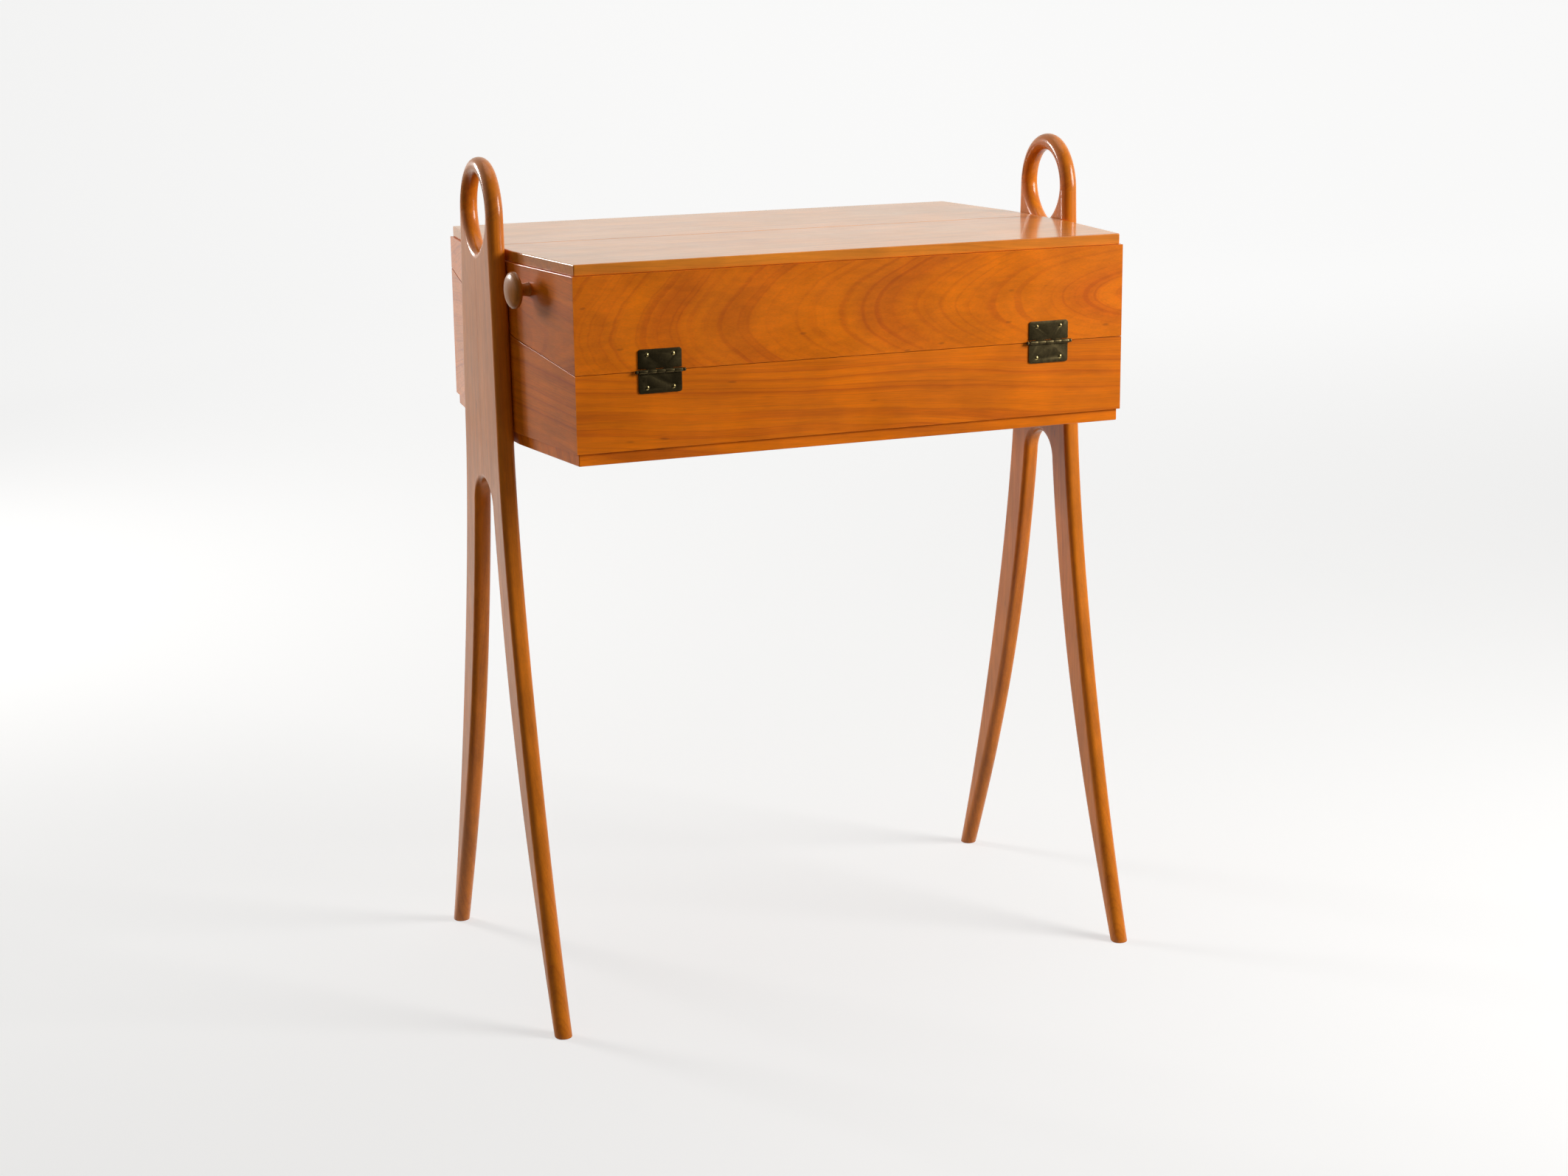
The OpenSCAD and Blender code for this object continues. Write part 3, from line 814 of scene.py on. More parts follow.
@dataclass
class LegFrame:
    """One end of the stand: two splayed legs glued edge to edge, with a ringed handle on top.

    Attributes:
        shop: The workshop.
        side: "left" or "right".
        foot_w: Width of a leg at the floor, in mm, as all sizes here.
        thigh_w: Width of a leg where it is widest.
        thigh_z: Height where a leg reaches its full width.
        foot_reach: Distance of a foot's outer edge from the middle.
        hip_half: Half the frame's width at the bottom of the box.
        shoulder_half: Half the frame's width at the handle joint.
        leg_curve: Power of a leg's sweep: 1 is straight.
        arch_drop: How far the centre of the arch lies below the box.
        handle_rise: Height of the handle above its joint.
        hole_w: Width of the handle hole.
        hole_drop: Depth of the hole below its widest place.
        hole_mid_h: Height of its widest place above the handle joint.
        hole_point: How pointed its bottom is: 2 is round.
        hole_belly: How soon its sides leave the widest place.
        grip_t: Thickness of the handle at its top.
        full_round: Rounding of the feet and the ring, nearly half the thickness.
        board_round: Rounding of the edges between them.
        rim_round: Rounding at the bottom of the hole.
        glue_round: Rounding of the edges at the glued joint.
        corner_steps: Steps round each rounded corner.
        hold: Width of the flat strip that keeps each face flat beside its corners.
        leg_steps: Steps from the floor to the arch.
        arch_steps: Steps round half the arch.
        glue_steps: Steps along the glued joint.
        rim_steps: Steps from the bottom of the hole to the handle joint.
        ring_steps: Steps over the handle.
        foot_ease: Width of the eased edge under a foot.
    """

    shop: Workshop
    side: str
    foot_w: float = 16.5
    thigh_w: float = 35.0
    thigh_z: float = 324.0
    foot_reach: float = 176.0
    hip_half: float = 56.0
    shoulder_half: float = 48.5
    leg_curve: float = 1.5
    arch_drop: float = 68.0
    handle_rise: float = 53.5
    hole_w: float = 65.0
    hole_drop: float = 36.0
    hole_mid_h: float = 4.0
    hole_point: float = 1.7
    hole_belly: float = 2.2
    grip_t: float = 16.0
    full_round: float = 7.7
    board_round: float = 5.4
    rim_round: float = 6.6
    glue_round: float = 0.18
    corner_steps: int = 7
    hold: float = 0.2
    leg_steps: int = 60
    arch_steps: int = 14
    glue_steps: int = 24
    rim_steps: int = 26
    ring_steps: int = 72
    foot_ease: float = 0.9

    @property
    def arch_z(self) -> float:
        """Height of the centre of the arch between the legs."""
        return self.shop.design.box_base_z - self.arch_drop

    @property
    def hole_mid_z(self) -> float:
        """Height of the widest place of the handle hole."""
        return self.shop.design.handle_joint_z + self.hole_mid_h

    @property
    def hole_top_rise(self) -> float:
        """Height of the hole above its widest place."""
        return self.handle_rise - self.grip_t - self.hole_mid_h

    def leg_out(self, z: float) -> float:
        """Distance of a leg's outer edge from the middle, at height z."""
        base, joint = self.shop.design.box_base_z, self.shop.design.handle_joint_z
        if z < base:
            return self.hip_half + (self.foot_reach - self.hip_half) * (1 - z / base) ** self.leg_curve
        return self.hip_half + (self.shoulder_half - self.hip_half) * (z - base) / (joint - base)

    def leg_in(self, z: float) -> float:
        """Distance of a leg's inner edge from the middle, at height z below the arch."""
        fill = 1 - (1 - min(z / self.thigh_z, 1.0)) ** 2
        return self.leg_out(z) - (self.foot_w + (self.thigh_w - self.foot_w) * fill)

    def hole(self, turn: float) -> Point:
        """Point of the handle hole's edge as Y and Z, at an angle from its front, upwards positive.

        Args:
            turn: The angle in radians, from -90 degrees at the bottom to 90 degrees at the top.

        Returns:
            Y, negative to the front, and Z.
        """
        rise = math.sin(turn)
        if rise >= 0:
            return -self.hole_w / 2 * math.cos(turn), self.hole_mid_z + self.hole_top_rise * rise
        drop = 1 - math.cos(turn) ** self.hole_belly
        half = self.hole_w / 2 * max(1 - drop ** self.hole_point, 0.0) ** (1 / self.hole_point)
        return -half, self.hole_mid_z - self.hole_drop * drop

    def fuller(self, small: float, share: float) -> float:
        """A rounding between a small one and the full one."""
        return small + (self.full_round - small) * share

    def edge_round(self, z: float) -> float:
        """Rounding of an outer edge at height z: full at the feet and the ring, small on the board."""
        foot, ring = 1 - smoothstep(40.0, 330.0, z), smoothstep(640.0, 722.0, z)
        return self.fuller(self.board_round, max(foot, ring))

    def arch_round(self, z: float) -> float:
        """Rounding of the edges between the legs at height z."""
        return self.fuller(self.board_round, 1 - smoothstep(40.0, 300.0, z))

    @staticmethod
    def inward(points: list[Point], toward: float) -> list[Point]:
        """Unit vectors across a line of points, level at the floor so that the feet stay flat.

        Args:
            points: The line's points.
            toward: 1 for the left of the line's direction, -1 for the right.

        Returns:
            One vector for each point.
        """
        found = []
        for i, (_, height) in enumerate(points):
            a, b = points[max(i - 1, 0)], points[min(i + 1, len(points) - 1)]
            dy, dz = b[0] - a[0], b[1] - a[1]
            size = math.hypot(dy, dz) or 1.0
            rise = dy / size * toward * smoothstep(0.0, 60.0, height)
            across = Vector((-dz / size * toward, rise)).normalized()
            found.append((across.x, across.y))
        return found

    def leg_stations(self) -> list[Station]:
        """Stations of the front leg from its foot to the handle joint.

        Returns:
            The stations, with Y negative to the front.
        """
        joint, base = self.shop.design.handle_joint_z, self.arch_z
        outer_z = spread(0.0, base, self.leg_steps)
        inner = [(-self.leg_in(z), z) for z in outer_z]
        inner_in = self.inward(inner, 1)
        inner_r = [self.arch_round(z) for z in outer_z]

        # From here the outer points run a little above the inner ones, so that the sections fan out.
        arch_r = self.leg_in(base)
        arch_top = base + arch_r
        for turn in spread(0.0, math.pi / 2, self.arch_steps)[1:]:
            inner.append((-arch_r * math.cos(turn), base + arch_r * math.sin(turn)))
            inner_in.append((-math.cos(turn), math.sin(turn)))
            inner_r.append(self.board_round)
        outer_z += spread(base, arch_top + 14, self.arch_steps)[1:]

        glue_top = self.hole_mid_z - self.hole_drop - 9.0
        for z in spread(arch_top + 5.8, glue_top, self.glue_steps):
            inner.append((0.0, z))
            inner_in.append((-1.0, 0.0))
            inner_r.append(self.glue_round)
        outer_z += spread(arch_top + 16, glue_top, self.glue_steps)

        rim = [self.hole(turn) for turn in spread(-math.pi / 2, self.joint_turn(), self.rim_steps)]
        rim[-1] = (rim[-1][0], joint)
        rim_in = self.inward(rim, 1)
        rim_in[0], rim_in[-1] = (0.0, -1.0), (-1.0, 0.0)
        inner += rim
        inner_in += rim_in
        inner_r += [self.fuller(self.rim_round, smoothstep(706.0, 732.0, z)) for _, z in rim]
        outer_z += spread(glue_top + 3, joint, self.rim_steps)

        outer = [(-self.leg_out(z), z) for z in outer_z]
        outer_in = self.inward(outer, -1)
        outer_in[-1] = (1.0, 0.0)
        outer_r = [self.edge_round(z) for z in outer_z]
        return [Station(*parts) for parts in zip(outer, inner, outer_in, inner_in, outer_r, inner_r)]

    def joint_turn(self) -> float:
        """Angle of the hole's edge where the handle meets the legs."""
        low, high, joint = -math.pi / 2, 0.0, self.shop.design.handle_joint_z
        for _ in range(40):
            middle = (low + high) / 2
            low, high = (middle, high) if self.hole(middle)[1] < joint else (low, middle)
        return low

    def ring_stations(self) -> list[Station]:
        """Stations of the handle, from its front foot over the top to its back foot.

        Returns:
            The stations.
        """
        joint, start = self.shop.design.handle_joint_z, self.joint_turn()
        across, up = self.shoulder_half, self.handle_rise
        hole_half, hole_up = self.hole_w / 2, self.hole_top_rise
        stations = []
        for i in range(self.ring_steps + 1):
            share = i / self.ring_steps
            turn = math.pi * share
            outer = (-across * math.cos(turn), joint + up * math.sin(turn))
            outer_in = Vector((math.cos(turn) / across, -math.sin(turn) / up)).normalized()
            inner_turn = start + (math.pi - 2 * start) * share
            mirrored = inner_turn > math.pi / 2
            y, z = self.hole(math.pi - inner_turn if mirrored else inner_turn)
            y = -y if mirrored else y
            inner_in = Vector((y / hole_half ** 2, (z - self.hole_mid_z) / hole_up ** 2)).normalized()
            if i in (0, self.ring_steps):
                inner_in = Vector((math.copysign(1.0, y), 0.0))
            stations.append(Station(outer, (y, z), tuple(outer_in), tuple(inner_in),
                                    self.full_round, self.full_round))
        return stations

    def section(self, station: Station) -> list[Vector]:
        """Points round one section, for a frame on the right side of X = 0.

        Args:
            station: The place of the section.

        Returns:
            The points, in metres, always as many.
        """
        half, middle = self.shop.design.frame_t / 2, self.shop.design.frame_mid_x
        points = []
        for point, across, radius, sign in ((station.outer, station.outer_in, station.outer_r, 1),
                                            (station.inner, station.inner_in, station.inner_r, -1)):
            turns = spread(0.0, math.pi / 2, self.corner_steps)
            arc = [(half - radius * (1 - math.sin(t)), radius * (1 - math.cos(t))) for t in turns]
            arc.append((half, radius + self.hold))
            for x, depth in arc[::-1] + [(-x, d) for x, d in arc]:
                y, z = (p + a * depth for p, a in zip(point, across))
                points.append(Vector((middle + sign * x, y, z)) * MM)
        return points

    def swept(self, stations: list[Station]) -> Mesh:
        """Extrudes a section along its stations and caps both ends.

        Args:
            stations: The places of the section.

        Returns:
            The closed mesh, on the right side of X = 0.
        """
        mesh = bmesh.new()
        first = [mesh.verts.new(p) for p in self.section(stations[0])]
        loop = [mesh.edges.new((first[i - 1], first[i])) for i in range(len(first))]
        ends = [loop]
        for station in stations[1:]:
            index = {vert: i for i, vert in enumerate(first)}
            made = bmesh.ops.extrude_edge_only(mesh, edges=loop)["geom"]
            fresh: list[bmesh.types.BMVert | None] = [None] * len(first)
            for vert in (v for v in made if isinstance(v, bmesh.types.BMVert)):
                old = next(e.other_vert(vert) for e in vert.link_edges if e.other_vert(vert) in index)
                fresh[index[old]] = vert
            for vert, place in zip(fresh, self.section(station)):
                vert.co = place
            loop = [mesh.edges.get((fresh[i - 1], fresh[i])) for i in range(len(fresh))]
            first = fresh
        ends.append(loop)
        for end in ends:
            bmesh.ops.contextual_create(mesh, geom=end)
        bmesh.ops.remove_doubles(mesh, verts=mesh.verts, dist=0.004 * MM)
        bmesh.ops.dissolve_degenerate(mesh, edges=mesh.edges, dist=0.003 * MM)
        bmesh.ops.recalc_face_normals(mesh, faces=mesh.faces)
        return mesh

    def place(self, mesh: Mesh, back: bool) -> None:
        """Mirrors a mesh onto its side of the table.

        Args:
            mesh: The mesh, made at the right front.
            back: Whether it goes to the back.
        """
        sign = Vector((SIDES[self.side], -1.0 if back else 1.0, 1.0))
        bmesh.ops.scale(mesh, vec=sign, verts=mesh.verts)
        bmesh.ops.recalc_face_normals(mesh, faces=mesh.faces)

    def build(self) -> None:
        """Builds the two legs and the handle."""
        x = SIDES[self.side] * self.shop.design.frame_mid_x
        for at, y in (("front", -70.0), ("back", 84.0)):
            mesh = self.swept(self.leg_stations())
            ease(mesh, [e for e in mesh.edges if all(v.co.z < 0.01 * MM for v in e.verts)], self.foot_ease, 3)
            self.place(mesh, at == "back")
            plank = Plank(Grain.UPRIGHT, (x + 60.0, y, 0.0), (2.0, -1.5, 0.0), 9.0, 14.0)
            self.dress(f"{at}_leg", mesh, plank)
        mesh = self.swept(self.ring_stations())
        self.place(mesh, False)
        self.dress("handle", mesh, Plank(Grain.CROSSWISE, (x + 25.0, 0.0, 700.0), (1.0, 0.0, 3.0), 8.0, 12.0))

    def dress(self, piece: str, mesh: Mesh, plank: Plank) -> None:
        """Finishes one piece of the frame.

        Args:
            piece: Its name without the side.
            mesh: Its mesh.
            plank: How it was cut.
        """
        node = f"{self.side}_{piece}"
        self.shop.finish(f"{node}_shaped", mesh, "stand", [node], FRAME, plank, 40)


# ---------------------------------------------------------------------------
# Box, lids and inside
# ---------------------------------------------------------------------------


Boards = dict[str, tuple[CherryFinish, Plank, float]]


@dataclass
class Joinery:
    """The boards of one body, each an eased copy of its CAD node.

    Attributes:
        shop: The workshop.
        body: The body that the boards ride on.
        boards: The finish, the cut and the width of the eased edges in mm, by CAD node.
    """

    shop: Workshop
    body: str
    boards: Boards

    def build(self) -> None:
        """Makes each board."""
        for node, (finish, plank, width) in self.boards.items():
            mesh = self.shop.eased(node, width)
            self.shop.finish(f"{node}_eased", mesh, self.body, [node], finish, plank)


def box_boards() -> Boards:
    """Boards of the box under the lids, with how each was cut.

    Returns:
        The boards by CAD node.
    """
    boards = {
        "bottom_board": (PANEL, Plank(heart=(0, 40, 470), lean=(0, 1.2, 1.5), ring=12, wander=18), 0.8),
        "box_front_wall": (PANEL, Plank(heart=(40, -140, 500), lean=(0, 2.2, 1.0), ring=10, wander=34), 0.5),
        "box_back_wall": (PANEL, Plank(heart=(-60, 150, 500), lean=(0, -2.0, 2.0), ring=11, wander=30), 0.5),
        "long_divider": (INSIDE, Plank(heart=(0, 0, 480), lean=(0, 1, 0), ring=9, wander=14), 0.6),
    }
    for side, sign in SIDES.items():
        boards[f"box_{side}_front_end"] = (
            PANEL, Plank(Grain.CROSSWISE, (sign * 330, -60, 500), (1.5, 0, 2), 9, 16), 0.5)
        boards[f"box_{side}_back_end"] = (
            PANEL, Plank(Grain.CROSSWISE, (sign * 335, 60, 520), (-1.5, 0, 2), 9, 16), 0.5)
        boards[f"{side}_cleat"] = (
            INSIDE, Plank(Grain.CROSSWISE, (sign * 250, 0, 500), ring=8, wander=8), 0.8)
        boards[f"{side}_cross_divider"] = (
            INSIDE, Plank(Grain.CROSSWISE, (sign * 90, 0, 480), (1, 0, 0), 9, 14), 0.6)
    return boards


def lid_boards(at: str) -> Boards:
    """Boards of one lid, with how each was cut.

    Args:
        at: "front" or "back".

    Returns:
        The boards by CAD node.
    """
    sign = -1 if at == "front" else 1
    wall = (Plank(heart=(262, -172, 655), lean=(0, 0, -15), ring=17, wander=16) if at == "front"
            else Plank(heart=(-150, 170, 720), lean=(0, 2, 8), ring=14, wander=22))
    boards = {
        f"{at}_lid_top": (TOP_WITH_PAINTED_SHEEN, Plank(heart=(40, sign * 90, 640), lean=(0, 1.0, 1.0), ring=9, wander=16), 0.9),
        f"{at}_lid_wall": (PANEL, wall, 0.5),
        f"{at}_lid_rail": (INSIDE, Plank(heart=(0, sign * 40, 690), ring=8, wander=8), 0.6),
    }
    for side, out in SIDES.items():
        boards[f"{at}_lid_{side}_end"] = (
            PANEL, Plank(Grain.CROSSWISE, (out * 340, sign * 60, 640), (1.5 * sign, 0, 2), 9, 16), 0.5)
    return boards


# ---------------------------------------------------------------------------
# Hardware
# ---------------------------------------------------------------------------


@dataclass
class Screws:
    """Domed or countersunk slotted screws, built at the places of the CAD ones.

    Attributes:
        shop: The workshop.
        head_r: Radius of a hinge screw's head, in mm, as all sizes here.
        head_h: Height of that head.
        shank_r: Radius of a hinge screw's shank.
        slot_w: Width of a hinge screw's slot.
        slot_d: Depth of every slot.
        bolt_head_r: Radius of a countersunk head.
        bolt_r: Radius of a countersunk screw's shank.
        bolt_slot_w: Width of a countersunk screw's slot.
    """

    shop: Workshop
    head_r: float = 2.0
    head_h: float = 0.9
    shank_r: float = 1.15
    slot_w: float = 0.5
    slot_d: float = 0.35
    bolt_head_r: float = 4.15
    bolt_r: float = 2.15
    bolt_slot_w: float = 1.0

    def parts(self, node: str) -> list[tuple[Vector, Vector]]:
        """Lowest and highest corners of each separate screw of a CAD node.

        Args:
            node: The CAD node's name.

        Returns:
            The pairs of corners, in metres, in a fixed order.
        """
        mesh = self.shop.copy(node)
        left, found = set(mesh.verts), []
        while left:
            reach, group = [next(iter(left))], set()
            while reach:
                vert = reach.pop()
                if vert in left:
                    left.discard(vert)
                    group.add(vert)
                    reach += [e.other_vert(vert) for e in vert.link_edges]
            corners = [[f(v.co[k] for v in group) for k in range(3)] for f in (min, max)]
            found.append((Vector(corners[0]), Vector(corners[1])))
        mesh.free()
        return sorted(found, key=lambda pair: tuple(round(c, 5) for c in pair[0]))

    def slotted(self, mesh: Mesh, top: float, half: float) -> None:
        """Sinks a slot into the head of a screw that points down Z.

        Args:
            mesh: The screw, in metres.
            top: Height below which nothing is slotted, in mm.
            half: Half the slot's width, in mm.
        """
        for x in (-half, half):
            bmesh.ops.bisect_plane(mesh, geom=mesh.verts[:] + mesh.edges[:] + mesh.faces[:], dist=1e-7,
                                   plane_co=(x * MM, 0, 0), plane_no=(1, 0, 0))
        faces = [f for f in mesh.faces if abs(f.calc_center_median().x) < half * MM * 0.99
                 and f.calc_center_median().z > top * MM and f.normal.z > 0.2]
        made = bmesh.ops.extrude_face_region(mesh, geom=faces)["geom"]
        bmesh.ops.delete(mesh, geom=faces, context="FACES")
        sunk = [g for g in made if isinstance(g, bmesh.types.BMVert)]
        bmesh.ops.translate(mesh, vec=(0, 0, -self.slot_d * MM), verts=sunk)

    def domed(self, length: float) -> Mesh:
        """A round-headed screw, its head up and its underside at Z = 0.

        Args:
            length: Length of its shank, in mm.

        Returns:
            The mesh.
        """
        rise, r = self.head_h, self.head_r
        big = (r * r + rise * rise) / (2 * rise)
        angles = spread(0.0, math.asin(r / big), 7)
        dome = [(big * math.sin(a), rise - big + big * math.cos(a)) for a in angles]
        mesh = turned(dome + [(self.shank_r, 0.0), (self.shank_r, -length + 1.2), (0.0, -length)], 28)
        self.slotted(mesh, 0.12, self.slot_w / 2)
        return mesh

    def sunk(self, length: float) -> Mesh:
        """A countersunk screw, its flat head up at Z = 0.

        Args:
            length: Its whole length, in mm.

        Returns:
            The mesh.
        """
        head, shank = self.bolt_head_r, self.bolt_r
        profile = [(0.0, 0.0), (1.4, 0.0), (2.8, 0.0), (head - 0.25, 0.0), (head, -0.2),
                   (shank, shank - head), (shank, -length + 2.5), (0.0, -length)]
        mesh = turned(profile, 32)
        self.slotted(mesh, -0.05, self.bolt_slot_w / 2)
        return mesh

    @staticmethod
    def set_in(total: Mesh, screw: Mesh, head: Vector, away: Vector, spin: float) -> None:
        """Adds a screw to a mesh.

        Args:
            total: The mesh that gets it.
            screw: The screw, its head up along Z; it is freed.
            head: Where Z = 0 of the screw goes, in metres.
            away: The way its head looks.
            spin: Turn of its slot, in degrees.
        """
        bmesh.ops.transform(screw, matrix=aimed(head, away, spin), verts=screw.verts)
        carrier = bpy.data.meshes.new("screw")
        screw.to_mesh(carrier)
        screw.free()
        total.from_mesh(carrier)
        bpy.data.meshes.remove(carrier)

    def hinge_screws(self, node: str, body: str) -> None:
        """Makes the screws of the hinges on one body.

        Args:
            node: The CAD node.
            body: The body that they ride on.
        """
        total = bmesh.new()
        for i, (low, high) in enumerate(self.parts(node)):
            out = math.copysign(1.0, (low.y + high.y) / 2)
            rim = (high.y if out > 0 else -low.y) - self.head_h * MM
            length = (high.y - low.y) / MM - self.head_h
            head = Vector(((low.x + high.x) / 2, out * rim, (low.z + high.z) / 2))
            self.set_in(total, self.domed(length), head, Vector((0, out, 0)), 23.0 + 67.0 * i)
        self.shop.finish(f"{node}_slotted", total, body, [node], BRASS, smooth_below=35)

    def frame_screws(self, side: str) -> None:
        """Makes the screws that hold a leg frame, their heads inside the box.

        Args:
            side: "left" or "right".
        """
        total, inward, node = bmesh.new(), -SIDES[side], f"{side}_frame_screws"
        for i, (low, high) in enumerate(self.parts(node)):
            head = Vector((high.x if inward > 0 else low.x, (low.y + high.y) / 2, (low.z + high.z) / 2))
            screw = self.sunk((high.x - low.x) / MM)
            self.set_in(total, screw, head, Vector((inward, 0, 0)), 15.0 + 50.0 * i)
        self.shop.finish(f"{node}_slotted", total, "stand", [node], BRASS, smooth_below=35)

    def dowels(self, side: str) -> None:
        """Makes the dowels between the pieces of a leg frame, their ends chamfered.

        Args:
            side: "left" or "right".
        """
        node = f"{side}_frame_dowels"
        mesh = self.shop.eased(node, 0.8, 2)
        plank = Plank(Grain.CROSSWISE, (SIDES[side] * 280.0, 0, 600), ring=6, wander=5)
        self.shop.finish(f"{node}_eased", mesh, "stand", [node], INSIDE, plank, 40)


@dataclass
class Knob:
    """The turned knobs on the ends of the front lid, and the screws behind them.

    Attributes:
        shop: The workshop.
        back: Distance of the stem from the front wall, in mm, as all sizes here.
        drop: Distance of the stem below the walls' upper edges.
        head_r: Radius of the head.
        rim_t: Thickness of the head at its rim.
        dome: Height of the crown above the rim.
        stem_l: Length of the stem.
        stem_r: Radius of the stem at its ends.
        waist: How much thinner the stem's middle is.
        under_r: Rounding under the rim.
        over_r: Rounding over the rim.
        wall_t: Thickness of the lid's end.
    """

    shop: Workshop
    back: float = 92.0
    drop: float = 20.0
    head_r: float = 16.5
    rim_t: float = 5.0
    dome: float = 3.0
    stem_l: float = 12.0
    stem_r: float = 6.5
    waist: float = 0.9
    under_r: float = 2.3
    over_r: float = 2.2
    wall_t: float = 9.0

    def axis(self, side: str) -> tuple[Vector, Vector]:
        """Where a knob's stem meets the lid, and the way the knob looks.

        Args:
            side: "left" or "right".

        Returns:
            The place in metres, and the unit vector.
        """
        design, sign = self.shop.design, SIDES[side]
        y = design.box_w / 2 - self.back
        x = design.end_x - design.end_slope * (y - design.end_flat / 2)
        slant = math.atan(design.end_slope)
        place = Vector((sign * x, -y, design.wall_top_z - self.drop)) * MM
        return place, Vector((sign * math.cos(slant), -math.sin(slant), 0.0))

    def profile(self) -> list[Point]:
        """The knob's turned outline, from its foot to its crown.

        Returns:
            Radius and height of each point, in mm.
        """
        under, rim, top = self.stem_l, self.stem_l + self.rim_t, self.stem_l + self.rim_t + self.dome
        thin = self.stem_r - self.waist
        points = [(0.0, 0.0), (self.stem_r - 0.3, 0.0), (self.stem_r, 0.35)]
        points += [(thin + self.waist * ((z - 5.5) / 5.1) ** 2, z) for z in (1.2, 2.4, 3.6, 5.0, 6.4, 7.6)]
        points += [(thin + 0.2 + 3.4 * t * t, 7.8 + (under - 7.8 - 0.15) * math.sin(t * math.pi / 2))
                   for t in (0.2, 0.4, 0.6, 0.8, 1.0)]
        points += [(11.5, under - 0.02), (self.head_r - 2.6, under + 0.12)]
        points += rounded((self.head_r - self.under_r, under + self.under_r + 0.12), self.under_r, -85, 0, 7)
        points += rounded((self.head_r - self.over_r, rim + 0.3 - self.over_r), self.over_r, 4, 70, 7)
        crown, foot = points[-1]
        turns = [math.pi / 2 * t for t in (0.1, 0.2, 0.32, 0.45, 0.6, 0.75, 0.88)]
        points += [(crown * math.cos(a), foot + (top - foot) * math.sin(a) ** 1.25) for a in turns]
        return points + [(0.0, top)]

    def build(self, screws: Screws) -> None:
        """Builds both knobs and their screws.

        Args:
            screws: The maker of the screws.
        """
        total = bmesh.new()
        for side, sign in SIDES.items():
            place, away = self.axis(side)
            mesh = turned(self.profile(), 72)
            bmesh.ops.transform(mesh, matrix=aimed(place, away), verts=mesh.verts)
            plank = Plank(Grain.UPRIGHT, (sign * 265.0, -85.0, 650.0), (3, 4, 0), 5, 6)
            self.shop.finish(f"{side}_knob_turned", mesh, "front_lid", [f"{side}_knob"], KNOB, plank, 40)
            length = self.wall_t + self.stem_l - 1
            screws.set_in(total, screws.sunk(length), place - away * self.wall_t * MM, -away, 40.0 * sign)
        self.shop.finish("knob_screws_slotted", total, "front_lid", ["knob_screws"], BRASS, smooth_below=35)


@dataclass
class Hinges:
    """The four butt hinges: leaves with rolled knuckles, and pins with rounded ends.

    Attributes:
        shop: The workshop.
        x: Distance of a hinge from the middle, in mm, as all sizes here.
        leaf_w: Width of a leaf.
        pin_r: Radius of a pin.
        bead_r: Radius of the bead at each of its ends.
        pin_out: How far a pin stands out past its leaves.
        axis_out: Distance of the axis from the wall.
    """

    shop: Workshop
    x: float = 192.0
    leaf_w: float = 40.5
    pin_r: float = 1.1
    bead_r: float = 1.65
    pin_out: float = 3.5
    axis_out: float = 2.15

    def build(self, screws: Screws) -> None:
        """Builds the hinges and their screws.

        Args:
            screws: The maker of the screws.
        """
        shop, design = self.shop, self.shop.design
        for at, sign, z in (("front", -1, design.front_cut_z), ("back", 1, design.back_cut_z)):
            for side, out in SIDES.items():
                for leaf, body in (("box", "stand"), ("lid", LID_BODIES[at])):
                    node = f"{at}_{side}_{leaf}_leaf"
                    shop.finish(f"{node}_eased", shop.eased(node, 0.22), body, [node], HINGE, smooth_below=20)
                mesh, node = turned(self.pin_profile(), 28), f"{at}_{side}_pin"
                place = Vector((out * self.x, sign * (design.box_w / 2 + self.axis_out), z)) * MM
                bmesh.ops.transform(mesh, matrix=aimed(place, Vector((1, 0, 0))), verts=mesh.verts)
                shop.finish(f"{node}_turned", mesh, "stand", [node], HINGE, smooth_below=40)
            screws.hinge_screws(f"{at}_lid_hinge_screws", LID_BODIES[at])
        screws.hinge_screws("box_hinge_screws", "stand")

    def pin_profile(self) -> list[Point]:
        """The pin's outline along its axis, with a bead at each end.

        Returns:
            Radius and height of each point, in mm.
        """
        half, bead = self.leaf_w / 2 + self.pin_out, self.bead_r
        end = [(bead * math.sin(a), half - 1.1 + 1.1 * math.cos(a)) for a in spread(0.0, math.pi / 2, 5)]
        end += [(bead, half - 2.2), (bead - 0.15, half - 2.6), (self.pin_r, half - 3.0)]
        return end + [(r, -z) for r, z in reversed(end)]


# ---------------------------------------------------------------------------
# Studio
# ---------------------------------------------------------------------------


@dataclass(frozen=True)
class Lamp:
    """A soft box that looks at a point.

    Attributes:
        name: Its name.
        place: Where it hangs, in metres.
        target: What it looks at, in metres.
        size: Length of its sides, in metres.
        power: Its power, in watts.
        colour: Its colour.
    """

    name: str
    place: Triple
    target: Triple
    size: float
    power: float
    colour: Triple = (1.0, 1.0, 1.0)

    def hang(self) -> None:
        """Puts the lamp in the scene."""
        data = bpy.data.lights.new(self.name, "AREA")
        data.shape, data.size, data.energy, data.color = "SQUARE", self.size, self.power, self.colour
        lamp = bpy.data.objects.new(self.name, data)
        bpy.context.scene.collection.objects.link(lamp)
        lamp.location = self.place
        lamp.rotation_euler = (Vector(self.place) - Vector(self.target)).to_track_quat("Z", "Y").to_euler()


